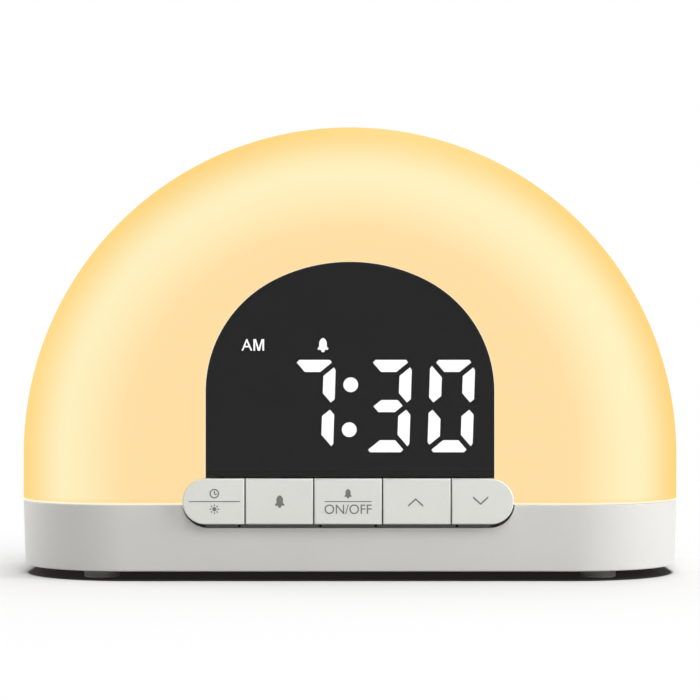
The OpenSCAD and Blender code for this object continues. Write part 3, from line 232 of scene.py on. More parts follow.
class WakeLightKeys(bpy.types.PropertyGroup):
    """Sizes of the key caps and of the signs on them."""

    print_depth: length("Print depth", "Thickness of the printed signs", 0.04)
    face: length("Key face", "Place of the keys' printed faces along the depth", -38.6)
    row_middle: length("Row middle", "Height of the middle of the keys", 20.98)
    upper: length("Upper sign", "Height of a sign above a dividing line", 23.05)
    lower: length("Lower sign", "Height of a sign below a dividing line", 18.98)
    first_x: length("First sign", "Sideways place of the signs on the first key", -35.5)
    second_x: length("Second sign", "Sideways place of the sign on the second key", -18.4)
    third_x: length("Third sign", "Sideways place of the signs on the third key", -0.5)
    fourth_x: length("Fourth sign", "Sideways place of the sign on the fourth key", 17.2)
    fifth_x: length("Fifth sign", "Sideways place of the sign on the fifth key", 34.2)
    first_line: length("First line", "Length of the dividing line on the first key", 13.4)
    third_line: length("Third line", "Length of the dividing line on the third key", 12.3)
    letter_height: length("Letter height", "Height of the capitals", 2.5)
    large_sign: length("Large sign", "Height of a sign that is alone on its key", 3.3)
    stroke: length("Stroke", "Width of the lines of a sign", 0.3)
    # Places and sizes of the black blocks in the frame's slits, which are painted shade
    inner_slit: length("Inner stop", "Sideways place of the inner slits of the frame", 7.3)
    outer_slit: length("Outer stop", "Sideways place of the outer slits of the frame", 28.6)
    shade_block_width: length("Stop width", "Width of the black stop in a slit", 0.56)
    shade_block_low: length("Stop low", "Height of the lower edge of a stop", 14.1)
    shade_block_top: length("Stop top", "Height of the upper edge of a stop", 14.74)
    shade_block_depth: length("Stop depth", "How deep a stop is", 1.2)
    shade_block_step: length("Stop step", "How far a stop lies behind the frame's front", 0.05)
    # Behind the lip the frame is black, as painted shade
    lip: length("Lip", "Depth of the frame's lip, behind which it is black", 0.6)


class WakeLightDisplay(bpy.types.PropertyGroup):
    """Sizes of the pane, of the mask behind it and of the small lit signs above the digits."""

    pane_step: length(
        "Pane step", "How far the pane's back is drawn in to leave room for the mask", 0.2
    )
    mask_gap: length("Mask gap", "Gap between the mask and the parts behind it", 0.03)
    mask_depth: length("Mask depth", "Thickness of the mask", 0.1)
    mask_low: length("Mask low", "Height of the mask's lower edge above the window's", 0.3)
    mask_grow: length("Mask grow", "How much larger the mask is than the window", 0.5)
    mask_reach: length("Mask reach", "How far the digits' shapes move forward to cut the mask", 0.5)
    sign_depth: length("Sign depth", "Thickness of the small lit signs", 0.05)
    lowest: length("Lowest sign", "Height above which a lit segment is a small sign", 59)
    letter_z: length("Letter height", "Height of the middle of the letters", 62)
    letter_height: length("Capital", "Height of the capitals", 3.05)
    letter_a_x: length("A place", "Sideways place of the middle of the A", -27.22)
    letter_a_width: length("A width", "Width of the A", 2.82)
    letter_m_x: length("M place", "Sideways place of the middle of the M", -24.08)
    letter_m_width: length("M width", "Width of the M", 2.82)
    stroke: length("Stroke", "Width of the lines of the M", 0.46)
    bell_x: length("Bell place", "Sideways place of the middle of the bell", -7.13)
    bell_z: length("Bell height", "Height of the middle of the bell", 61.95)
    bell_height: length("Bell size", "Size of the bell from its top to its clapper", 3.75)


class WakeLightColours(bpy.types.PropertyGroup):
    """Colours of the pieces that show."""

    dome: colour("Dome", "Light of the dome around the window", 251, 219, 160)
    dome_bend: colour(
        "Dome bend", "Light of the dome where its front bends to the side", 251, 237, 188
    )
    dome_rim: colour("Dome rim", "Light of the dome at its outline", 245, 200, 98)
    dome_side: colour("Dome side", "Light of the dome's side towards the rear cover", 241, 188, 102)
    dome_line: colour("Dome line", "Light of the line along the dome's lower edge", 255, 246, 226)
    dome_band: colour("Dome band", "Light of the narrow band above that line", 250, 214, 128)
    cover: colour("Rear cover", "Plastic of the rear cover", 197, 195, 189)
    base: colour("Base", "Plastic of the base, its plate and the battery door", 203, 202, 199)
    caps: colour("Keys", "Plastic of the keys", 219, 220, 215)
    ink: colour("Key signs", "Ink of the signs on the keys", 112, 112, 110)
    digits: colour("Digits", "Light of the digits and of the small signs", 255, 255, 255)
    feet: colour("Feet", "Rubber of the feet", 186, 186, 184)
    # The floor's two colours under the clock: a painted shadow, and a painted glow that lifts it
    contact: colour("Contact", "Floor under the clock", 48, 44, 41)
    contact_light: colour(
        "Contact light", "Light that the floor under the clock gives back", 30, 27, 25
    )


class WakeLightStage(bpy.types.PropertyGroup):
    """Camera, lamps and floor."""

    camera_distance: length("Camera distance", "Place of the camera in front of the clock", 686.4)
    camera_height: length("Camera height", "Height of the camera above the table", 60.65)
    lens: number("Lens", "Focal length in millimetres", 127.3)
    sensor: number("Sensor", "Width of the camera's sensor in millimetres", 36)
    lamp_distance: length("Lamp distance", "Distance of the lamps from the clock", 1200)
    lamp_width: length("Lamp width", "Width of a lamp", 600)
    right_power: number("Right light", "Power of the light on the right in watts", 11.0)
    right_around: angle("Right turn", "How far the right light is turned from the front", 72)
    right_above: angle("Right rise", "How far the right light is above the clock", 22)
    left_power: number("Left light", "Power of the light on the left in watts", 7.35)
    left_around: angle("Left turn", "How far the left light is turned from the front", -120)
    left_above: angle("Left rise", "How far the left light is above the clock", 15)
    front_power: number("Front light", "Power of the light in front in watts", 5.8)
    front_around: angle("Front turn", "How far the front light is turned from the front", 8)
    front_above: angle("Front rise", "How far the front light is above the clock", 50)
    rear_power: number("Rear light", "Power of the light behind in watts", 5.7)
    rear_around: angle("Rear turn", "How far the rear light is turned from the front", 165)
    rear_above: angle("Rear rise", "How far the rear light is above the clock", 50)
    ambient: number("Ambient", "Strength of the light from all around", 0.33)
    floor_half: length("Floor size", "Half the width of the floor", 6000)
    floor_fade: length("Floor fade", "Distance from the clock at which the floor is half white", 16)
    floor_gain: number("Floor gain", "Factor that brings the far floor to full white", 1.04)
    # Where the painted shadow under the clock ends, and how soft its edge is
    painted_shadow_side: length(
        "Contact side", "How far the dark contact ends inside the clock's sides", 1.3
    )
    painted_shadow_front: length(
        "Contact front", "How far the dark contact reaches in front of the clock", 0.8
    )
    painted_shadow_blur: length("Contact blur", "Half the width of the dark contact's soft edge", 0.6)


def shell():
    """The sizes of the shells."""
    return bpy.context.scene.wake_light_shell


def glow():
    """The places and strengths of the light."""
    return bpy.context.scene.wake_light_glow


def openings():
    """The sizes of the openings."""
    return bpy.context.scene.wake_light_openings


def edge_widths():
    """The widths of the small roundings."""
    return bpy.context.scene.wake_light_edges


def keys():
    """The sizes of the keys."""
    return bpy.context.scene.wake_light_keys


def display():
    """The sizes of the display."""
    return bpy.context.scene.wake_light_display


def colours():
    """The colours of the pieces, by name."""
    group = bpy.context.scene.wake_light_colours
    return {name: tuple(getattr(group, name)) for name in WakeLightColours.__annotations__}


# Shader maths


class Field:
    """A number that varies over a surface, so that shader maths reads like plain maths."""

    def __init__(self, maker, socket):
        self.maker = maker
        self.socket = socket

    def math(self, operation, first, second=0.0):
        """A maths node on one or two numbers."""
        return self.maker.field("Math", {"operation": operation}, {0: first, 1: second})

    def __add__(self, other):
        return self.math("ADD", self, other)

    __radd__ = __add__

    def __sub__(self, other):
        return self.math("SUBTRACT", self, other)

    def __rsub__(self, other):
        return self.math("SUBTRACT", other, self)

    def __mul__(self, other):
        return self.math("MULTIPLY", self, other)

    __rmul__ = __mul__

    def __truediv__(self, other):
        return self.math("DIVIDE", self, other)

    def __rtruediv__(self, other):
        return self.math("DIVIDE", other, self)

    def __pow__(self, other):
        return self.math("POWER", self, other)

    def __rpow__(self, other):
        return self.math("POWER", other, self)

    def size(self):
        """The number without its sign."""
        return self.math("ABSOLUTE", self)

    def least(self, other):
        """The smaller of two numbers."""
        return self.math("MINIMUM", self, other)

    def most(self, other):
        """The larger of two numbers."""
        return self.math("MAXIMUM", self, other)

    def part(self):
        """What is left of the number without its whole part."""
        return self.math("FRACT", self)

    def ramp(self, low, high):
        """0 below low, 1 above high, and smooth between them."""
        settings = {"interpolation_type": "SMOOTHSTEP"}
        inputs = {"Value": self, "From Min": low, "From Max": high}
        return self.maker.field("MapRange", settings, inputs)

    def between(self, low, high):
        """The same for a number in millimetres and two lengths."""
        return self.ramp(low / MM, high / MM)


class Maker:
    """Makes one procedural material, or the world, node by node."""

    def __init__(self, name, library=None):
        self.owner = (bpy.data.materials if library is None else library).new(name)
        self.owner.use_nodes = True
        self.tree = self.owner.node_tree
        self.tree.nodes.clear()
        self.place = None

    def node(self, kind, settings, inputs):
        """Adds a node with these settings, and feeds its inputs."""
        made = self.tree.nodes.new("ShaderNode" + kind)
        for name, value in settings.items():
            setattr(made, name, value)
        for name, value in inputs.items():
            self.feed(made.inputs[name], value)
        return made

    def feed(self, socket, value):
        """Links a varying value to a socket, or writes a constant on it."""
        if isinstance(value, Field):
            self.tree.links.new(value.socket, socket)
        elif isinstance(value, bpy.types.NodeSocket):
            self.tree.links.new(value, socket)
        else:
            socket.default_value = value

    def field(self, kind, settings, inputs, output=0):
        """Adds a node and gives one of its outputs."""
        return Field(self, self.node(kind, settings, inputs).outputs[output])

    def mapped(self, centre=(0, 0, 0), scale=(1, 1, 1)):
        """The place on the object in millimetres, measured from a centre, and stretched."""
        if self.place is None:
            self.place = self.node("TexCoord", {}, {}).outputs["Object"]
        offset = [-c * s for c, s in zip(centre, scale)]
        inputs = {"Vector": self.place, "Location": offset, "Scale": [s / MM for s in scale]}
        return self.node("Mapping", {}, inputs).outputs["Vector"]

    def axes(self, centre=(0, 0, 0)):
        """The three coordinates in millimetres, measured from a centre."""
        parts = self.node("SeparateXYZ", {}, {0: self.mapped(centre)})
        return [Field(self, parts.outputs[i]) for i in range(3)]

    def noise(self, scale, detail=3.0, stretch=(1, 1, 1)):
        """Fractal noise from 0 to 1, with scale features to a millimetre."""
        inputs = {"Vector": self.mapped(scale=stretch), "Scale": scale, "Detail": detail}
        return self.field("TexNoise", {}, inputs)

    def cells(self, scale):
        """Distance to the nearest of scattered points, with scale points to a millimetre."""
        inputs = {"Vector": self.mapped(), "Scale": scale}
        return self.field("TexVoronoi", {}, inputs, "Distance")

    def mix(self, factor, first, second):
        """Blends two colours."""
        settings = {"data_type": "RGBA", "clamp_factor": True}
        return self.field("Mix", settings, {0: factor, 6: first, 7: second}, 2)

    def bump(self, height, depth):
        """A normal that follows a height of 0 to 1, where 1 is this many millimetres high."""
        return self.field("Bump", {}, {"Height": height, "Distance": depth * MM, "Strength": 1.0})

    def direct_rays(self):
        """1 for a ray from the camera, from a mirror or through glass, and 0 for the others."""
        path = self.node("LightPath", {}, {}).outputs
        camera, glossy, through = [Field(self, path[ray]) for ray in DIRECT_RAYS]
        return camera + glossy + through

    def finish(self, shader, output="OutputMaterial"):
        """Puts the shader on the output, and gives the material or the world."""
        self.node(output, {}, {"Surface": shader.outputs[0]})
        return self.owner

    def surface(self, inputs):
        """Adds the main shader with these inputs."""
        return self.node("BsdfPrincipled", {}, inputs)


def shade(colour, factor):
    """A colour made lighter or darker by a factor."""
    return (*[min(1.0, channel * factor) for channel in colour[:3]], 1.0)


def moulded(name, colour, roughness, grain=0.02, contrast=0.04, gloss=0.5):
    """Moulded plastic: a fine grain, slight clouds in the colour, and faint wear in the gloss."""
    maker = Maker(name)
    clouds = maker.noise(0.05)
    fine = maker.noise(3.0, detail=2.0)
    speck = maker.noise(0.9, detail=4.0)
    low = shade(colour, 1 - contrast)
    high = shade(colour, 1 + contrast)
    height = fine * 0.7 + speck * 0.3
    inputs = {
        "Base Color": maker.mix(clouds * 0.7 + speck * 0.3, low, high),
        "Roughness": roughness * 0.85 + speck * (roughness * 0.3),
        "Normal": maker.bump(height, grain),
        "Specular IOR Level": gloss,
    }
    return maker.finish(maker.surface(inputs))


def dome_material(name, line_share):
    """Warm shell lit from inside: brightest on the bend, more orange towards the rim."""
    maker = Maker(name)
    size, hue = glow(), colours()
    x, y, z = maker.axes()
    up = (z - shell().arc_height / MM).most(0.0)
    radius = (x * x + up * up) ** 0.5
    clouds = maker.noise(0.02, detail=2.0)
    reach = radius + (clouds - 0.5) * (size.unevenness / MM)
    bent = maker.mix(reach.between(size.bend_start, size.bend_end), hue["dome"], hue["dome_bend"])
    outer = maker.mix(reach.between(size.rim_start, size.rim_end), bent, hue["dome_rim"])
    behind = maker.mix(y.between(size.side_start, size.side_end), outer, hue["dome_side"])
    band = size.band_share * (1 - z.between(size.band_low, size.band_top))
    low = maker.mix(band, behind, hue["dome_band"])
    line = (1 - z.between(size.line_top, size.band_low)).most(line_share)
    lit = maker.mix(line, low, hue["dome_line"])
    fine = maker.noise(2.2, detail=2.0)
    inputs = {
        "Base Color": maker.mix(fine, tone(46, 42, 34), tone(52, 48, 38)),
        "Roughness": 0.58 + fine * 0.08,
        "Normal": maker.bump(fine, 0.01),
        "Specular IOR Level": 0.06,
        "Emission Color": lit,
        "Emission Strength": 1.0,
    }
    return maker.finish(maker.surface(inputs))


def glass_material():
    """Smoked window: dark and glossy, with the digits' light coming through."""
    maker = Maker("smoked_window_gloss")
    smudge = maker.noise(0.08)
    dark = maker.surface({
        "Base Color": maker.mix(smudge, tone(20, 20, 21), tone(23, 23, 23)),
        "Roughness": 0.2 + smudge * 0.1,
        "Normal": maker.bump(maker.noise(0.06), 0.003),
        "Specular IOR Level": 0.35,
    })
    clear = maker.node("BsdfTransparent", {}, {"Color": shade(WHITE, 0.92)})
    inputs = {0: 0.6 + smudge * 0.04, 1: clear.outputs[0], 2: dark.outputs[0]}
    return maker.finish(maker.node("MixShader", {}, inputs))


def lit_material(name, colour, strength):
    """A lit segment: even light with a faint unevenness of the diffuser."""
    maker = Maker(name)
    even = maker.noise(0.6, detail=2.0)
    inputs = {
        "Base Color": maker.mix(even, shade(colour, 0.8), shade(colour, 0.9)),
        "Roughness": 0.5 + even * 0.1,
        "Emission Color": maker.mix(even, shade(colour, 0.96), colour),
        "Emission Strength": strength,
    }
    return maker.finish(maker.surface(inputs))


def metal_material(name, colour, roughness, stretch=(1, 1, 1)):
    """Bare metal with fine streaks."""
    maker = Maker(name)
    streaks = maker.noise(1.6, detail=5.0, stretch=stretch)
    clouds = maker.noise(0.2)
    inputs = {
        "Base Color": maker.mix(clouds, shade(colour, 0.86), shade(colour, 1.06)),
        "Roughness": roughness * 0.7 + streaks * (roughness * 0.6),
        "Metallic": 1.0,
        "Normal": maker.bump(streaks, 0.006),
    }
    return maker.finish(maker.surface(inputs))


def board_material(name, mask, copper):
    """Circuit board: solder mask over faint copper tracks in two directions."""
    maker = Maker(name)
    x, y, z = maker.axes()
    tracks = []
    for first, second in ((x, y + z), (y + z, x)):
        stripes = (first * 1.4).part()
        gate = maker.noise(0.15, detail=1.0) + (second * 0.31).part() * 0.2
        tracks.append(stripes.ramp(0.72, 0.78) * gate.ramp(0.52, 0.56))
    lines = tracks[0].most(tracks[1])
    grain = maker.noise(1.4)
    inputs = {
        "Base Color": maker.mix(lines * 0.7, maker.mix(grain, shade(mask, 0.9), mask), copper),
        "Roughness": 0.36 + grain * 0.14,
        "Normal": maker.bump(lines * 0.6 + grain * 0.2, 0.03),
    }
    return maker.finish(maker.surface(inputs))


def ribbon_material():
    """Flat cable with ribs along its strands."""
    maker = Maker("flat_cable")
    x = maker.axes()[0]
    ribs = (x * 0.8).part()
    valley = (ribs - 0.5).size() * 2
    grain = maker.noise(1.0)
    inputs = {
        # Base colour darker in the grooves between the strands: painted shade
        "Base Color": maker.mix(valley ** 3, tone(176, 178, 180), tone(120, 122, 126)),
        "Roughness": 0.42 + grain * 0.1,
        "Normal": maker.bump(1 - valley * valley, 0.2),
    }
    return maker.finish(maker.surface(inputs))


def foam_material():
    """Open foam with small pores, painted darker inside the pores as shade."""
    maker = Maker("foam_pores")
    pores = maker.cells(2.4)
    inputs = {
        "Base Color": maker.mix(pores, tone(28, 28, 30), tone(62, 62, 64)),
        "Roughness": 0.85 + pores * 0.1,
        "Normal": maker.bump(pores, 0.2),
    }
    return maker.finish(maker.surface(inputs))


def make_materials():
    """Every material of the object, by the name of the record's slot."""
    hue, light = colours(), glow()
    return {
        "dome": dome_material("dome_glow", 0.0),
        "dome_edge": dome_material("dome_edge_glow", light.edge_share),
        "cover": moulded("cover_plastic", hue["cover"], 0.42),
        "base": moulded("base_plastic", hue["base"], 0.4),
        "key_caps": moulded("key_plastic", hue["caps"], 0.42, grain=0.008),
        "smoked_window": glass_material(),
        "black_plastic": moulded("black_plastic_grain", tone(26, 26, 27), 0.5, contrast=0.2),
        "block_black": moulded("block_plastic", tone(24, 24, 25), 0.6, grain=0.001, contrast=0.03),
        # Near-black for the blocks in the key frame's slits: painted shade
        "deep_black": moulded("deep_black_rubber", tone(5, 5, 5), 0.8, contrast=0.2, gloss=0.02),
        # Dark grey plastic of the key frame; its lip below the keys is partly painted shade
        "dark_plastic": moulded("dark_plastic_grain", tone(72, 74, 68), 0.5, contrast=0.1),
        "white_plastic": moulded("reflector_plastic", tone(236, 234, 228), 0.5),
        "lit_white": lit_material("digit_light", hue["digits"], light.digits),
        "unlit_grey": moulded("unlit_segment", tone(34, 34, 35), 0.6, contrast=0.1),
        "green_board": board_material("board_green", tone(22, 82, 48), tone(58, 128, 66)),
        "white_board": board_material("board_white", tone(228, 228, 222), tone(204, 198, 178)),
        "diode_yellow": lit_material("diode_phosphor", tone(255, 226, 120), light.diodes),
        "zinc_steel": metal_material("zinc_plate", tone(186, 190, 194), 0.4),
        "screw_steel": metal_material("screw_metal", tone(196, 197, 199), 0.3),
        "cone_paper": moulded("pressed_paper", tone(44, 42, 40), 0.85, grain=0.1, contrast=0.25),
        "ferrite": moulded("ferrite_stone", tone(48, 48, 52), 0.6, grain=0.06, contrast=0.2),
        "foam": foam_material(),
        "foot_rubber": moulded("rubber", hue["feet"], 0.62, grain=0.04, contrast=0.08),
        # Lighter rubber for the feet's lower rim: a painted highlight
        "foot_painted_highlight": moulded("rubber_tread", tone(238, 236, 232), 0.5, grain=0.04, contrast=0.05),
        "contact_metal": metal_material("contact_plate", tone(214, 196, 150), 0.28),
        "cell_steel": metal_material("cell_can", tone(200, 202, 206), 0.26, stretch=(1, 1, 0.1)),
        "chip_black": moulded("chip_epoxy", tone(34, 34, 36), 0.55, grain=0.05, contrast=0.15),
        "can_aluminium": metal_material("capacitor_can", tone(206, 208, 212), 0.3),
        "wire_red": moulded("wire_jacket", tone(176, 36, 30), 0.4, contrast=0.1),
        "ribbon_grey": ribbon_material(),
        "key_print": moulded("key_ink", hue["ink"], 0.6, grain=0.01, contrast=0.05),
    }


MATERIALS = {}


def material(slot):
    """The material of a slot. The first call makes them all."""
    if not MATERIALS:
        MATERIALS.update(make_materials())
    return MATERIALS[slot]


# Mesh helpers


def add_object(name, data):
    """Adds an object with this data to the scene."""
    made = bpy.data.objects.new(name, data)
    bpy.context.collection.objects.link(made)
    return made


def mesh_from(name, bm):
    """A mesh with the shape of a bmesh, which is freed."""
    mesh = bpy.data.meshes.new(name)
    bm.to_mesh(mesh)
    bm.free()
    return mesh


def everything(bm):
    """All vertices, edges and faces of a bmesh."""
    return [*bm.verts, *bm.edges, *bm.faces]


def verts_of(geometry):
    """The vertices among these elements."""
    return [part for part in geometry if isinstance(part, bmesh.types.BMVert)]


def near(value, target):
    """True if two lengths are almost the same."""
    return abs(value - target) < SLACK


def lies_at(part, axis, value):
    """True if an edge or a face lies at a place along an axis."""
    return all(near(vert.co[axis], value) for vert in part.verts)


def runs_along(edge, axis):
    """True if the ends of an edge differ along an axis."""
    return abs(edge.verts[0].co[axis] - edge.verts[1].co[axis]) > MERGE


def looks_along(face, axis):
    """True if a face looks mostly along an axis, either way."""
    return abs(face.normal[axis]) > MOSTLY


def sharp_edges(bm, where=None):
    """Edges between two faces that meet at a clear angle."""
    found = []
    for edge in bm.edges:
        if len(edge.link_faces) == 2 and edge.calc_face_angle(0.0) > SHARP:
            if where is None or where(edge):
                found.append(edge)
    return found


def round_edges(bm, edges, width, segments=2):
    """Rounds these edges."""
    bmesh.ops.bevel(
        bm, geom=edges, offset=width, offset_type="OFFSET", segments=segments, profile=0.5,
        affect="EDGES", clamp_overlap=True, material=-1,
    )


def tidy(bm):
    """Joins vertices that lie together and turns the normals outwards."""
    bmesh.ops.remove_doubles(bm, verts=bm.verts, dist=MERGE)
    bmesh.ops.recalc_face_normals(bm, faces=bm.faces)


def add_piece(name, bm, body, slot, nodes=(), second=None):
    """Makes a piece from a bmesh, with its material, and lets it ride on a body of the frame."""
    mesh = mesh_from(name, bm)
    for key in (slot, second) if second else (slot,):
        mesh.materials.append(material(key))
    mesh.shade_smooth()
    mesh.set_sharp_from_angle(angle=SHARP)
    piece = add_object(name, mesh)
    even = piece.modifiers.new("Even normals", "WEIGHTED_NORMAL")
    even.keep_sharp = True
    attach(piece, body)
    if nodes:
        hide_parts(*nodes)


def slot_name(slot):
    """The record's name for a material slot of a CAD part."""
    return slot.material.name.split(".")[0]


def cad_copy(node):
    """A bmesh with the shape of a CAD part, its triangles joined and its flat faces merged."""
    bm = bmesh.new()
    bm.from_mesh(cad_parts[node].data)
    bmesh.ops.remove_doubles(bm, verts=bm.verts, dist=MERGE)
    bmesh.ops.dissolve_limit(bm, angle_limit=FLAT, verts=bm.verts, edges=bm.edges)
    return bm


def order_by_place(bm):
    """Orders vertices, edges and faces by their places, so that every run gives the same mesh."""

    def place(part):
        corners = getattr(part, "verts", (part,))
        middle = sum((vert.co for vert in corners), Vector()) / len(corners)
        return middle.dot(UNEVEN)

    for parts in (bm.verts, bm.edges, bm.faces):
        parts.sort(key=place)
        parts.index_update()


def cut(bm, *tools):
    """Cuts these shapes out of a shape, and gives the result."""
    target, *cutters = [add_object("cut", mesh_from("cut", shape)) for shape in (bm, *tools)]
    for tool in cutters:
        step = target.modifiers.new(tool.name, "BOOLEAN")
        step.operation = "DIFFERENCE"
        step.solver = "EXACT"
        step.object = tool
    graph = bpy.context.evaluated_depsgraph_get()
    result = bmesh.new()
    result.from_object(target, graph)
    for made in (target, *cutters):
        mesh = made.data
        bpy.data.objects.remove(made)
        bpy.data.meshes.remove(mesh)
    bmesh.ops.remove_doubles(result, verts=result.verts, dist=MERGE)
    order_by_place(result)
    bmesh.ops.dissolve_limit(result, angle_limit=LEVEL, verts=result.verts, edges=result.edges)
    return result


def box_shape(low, high):
    """A box from its two corners."""
    bm = bmesh.new()
    low, high = Vector(low), Vector(high)
    place = Matrix.Translation((low + high) / 2) @ Matrix.Diagonal((*(high - low), 1))
    bmesh.ops.create_cube(bm, size=1, matrix=place)
    return bm


ALONG_Y = Matrix.Rotation(math.radians(90), 4, "X")


def rod_shape(centre, radius, reach, along=ALONG_Y, sides=64):
    """A round rod, centred, along the depth unless told otherwise."""
    bm = bmesh.new()
    bmesh.ops.create_cone(
        bm, cap_ends=True, cap_tris=False, segments=sides, radius1=radius, radius2=radius,
        depth=reach, matrix=Matrix.Translation(centre) @ along,
    )
    return bm


def merged(*shapes):
    """Several shapes that don't touch, in one bmesh."""
    whole = bmesh.new()
    for shape in shapes:
        mesh = mesh_from("part", shape)
        whole.from_mesh(mesh)
        bpy.data.meshes.remove(mesh)
    return whole


def half_disc_shell(front, back, rounding, flat_at_front):
    """One half of the clock's upper shell as a closed wall, open where the two halves meet."""
    size = shell()
    centre = (0, (front + back) / 2, size.arc_height)
    bm = rod_shape(centre, size.radius, back - front, sides=size.segments)
    closed_y, open_y = (front, back) if flat_at_front else (back, front)
    rim = [e for e in bm.edges if lies_at(e, Y, closed_y)]
    round_edges(bm, rim, rounding, size.round_steps)
    caps = [f for f in bm.faces if lies_at(f, Y, open_y)]
    bmesh.ops.delete(bm, geom=caps, context="FACES")
    bmesh.ops.bisect_plane(
        bm, geom=everything(bm), dist=MERGE, plane_co=centre, plane_no=(0, 0, 1), clear_inner=True
    )
    low_edges = [e for e in bm.edges if lies_at(e, Z, size.arc_height)]
    run = bmesh.ops.extrude_edge_only(bm, edges=low_edges)["geom"]
    bmesh.ops.translate(bm, verts=verts_of(run), vec=(0, 0, size.seam - size.arc_height))
    tidy(bm)
    return thickened(bm, size.wall)


def outer_seam(edge):
    """True for an edge on the outside, where the dome meets the rear cover."""
    size = shell()
    for vert in edge.verts:
        reach = math.hypot(vert.co.x, max(vert.co.z - size.arc_height, 0))
        if not near(vert.co.y, size.cover_seam) or reach < size.radius - THROUGH / 2:
            return False
    return True


def thickened(bm, wall):
    """A closed wall that grows inwards from an open surface whose normals point outwards."""
    bmesh.ops.solidify(bm, geom=list(bm.faces), thickness=wall)
    tidy(bm)
    return bm


def plan_prism(inset, low, high):
    """The clock's outline from above, drawn in by an inset, as a prism."""
    size = shell()
    reach = size.radius - inset
    bm = box_shape((-reach, size.front + inset, low), (reach, size.back - inset, high))
    corners = ((size.front + inset, size.front_round), (size.back - inset, size.rear_round))
    for y, rounding in corners:
        upright = [e for e in bm.edges if runs_along(e, Z) and lies_at(e, Y, y)]
        round_edges(bm, upright, rounding - inset, size.round_steps)
    return bm


def pushed_out(bm, thickness):
    """Flat faces across the depth, thickened along it."""
    grown = bmesh.ops.extrude_face_region(bm, geom=list(bm.faces))["geom"]
    bmesh.ops.translate(bm, verts=verts_of(grown), vec=(0, thickness, 0))
    tidy(bm)
    return bm


class Outline:
    """Traces a closed outline at one depth, and thickens it into a flat piece."""

    def __init__(self, x, z, depth):
        self.bm = bmesh.new()
        self.depth = depth
        self.end = bmesh.ops.create_vert(self.bm, co=(x, depth, z))["vert"]

    def line(self, x, z):
        """Runs straight to a point."""
        self.end = bmesh.ops.extrude_vert_indiv(self.bm, verts=self.end)["verts"]
        step = Vector((x, self.depth, z)) - self.end[0].co
        bmesh.ops.translate(self.bm, verts=self.end, vec=step)

    def arc(self, x, z, turn, steps):
        """Runs around a centre, counter-clockwise as seen from the front."""
        spun = bmesh.ops.spin(
            self.bm, geom=self.end, cent=(x, self.depth, z), axis=(0, -1, 0), dvec=(0, 0, 0),
            angle=turn, steps=steps,
        )
        self.end = verts_of(spun["geom_last"])

    def solid(self, thickness):
        """Closes the outline, and gives it a thickness towards the back."""
        bm = self.bm
        bmesh.ops.remove_doubles(bm, verts=bm.verts, dist=MERGE)
        ends = [v for v in bm.verts if len(v.link_edges) == 1]
        if ends:
            bmesh.ops.contextual_create(bm, geom=ends)
        bmesh.ops.contextual_create(bm, geom=list(bm.edges))
        return pushed_out(bm, thickness)


def arch_prism(low, front, back, inset=0.0):
    """The window's arch as a prism that runs down to a height, drawn in by an inset."""
    size = openings()
    half, top = size.half_width - inset, size.top - inset
    rise = top - size.spring
    shoulder = rise - size.shoulder_step
    shoulder_x = half - shoulder
    crown = (shoulder_x ** 2 + rise ** 2 - shoulder ** 2) / (2 * size.shoulder_step)
    crown_height = top - crown
    turn = math.atan2(size.spring - crown_height, shoulder_x)
    trace = Outline(half, low, front)
    trace.line(half, size.spring)
    trace.arc(shoulder_x, size.spring, turn, 24)
    trace.arc(0, crown_height, math.pi - 2 * turn, 32)
    trace.arc(-shoulder_x, size.spring, turn, 24)
    trace.line(-half, low)
    return trace.solid(back - front)


def pill_prism(grow, shift, front, back):
    """The keyhole's pill as a prism, grown and shifted sideways."""
    size = openings()
    middle = size.keyhole_x + shift
    half = size.keyhole_width / 2 + grow
    low, high = size.keyhole_low - grow, size.keyhole_top + grow
    bm = box_shape((middle - half, front, low), (middle + half, back, high))
    along = [e for e in bm.edges if runs_along(e, Y)]
    round_edges(bm, along, (high - low - SLACK) / 2, segments=24)
    return bm


def softened(name, node, body, slot, width):
    """A piece with the shape of a CAD part and small roundings on its sharp edges."""
    bm = cad_copy(node)
    round_edges(bm, sharp_edges(bm), width)
    add_piece(name, bm, body, slot, [node])


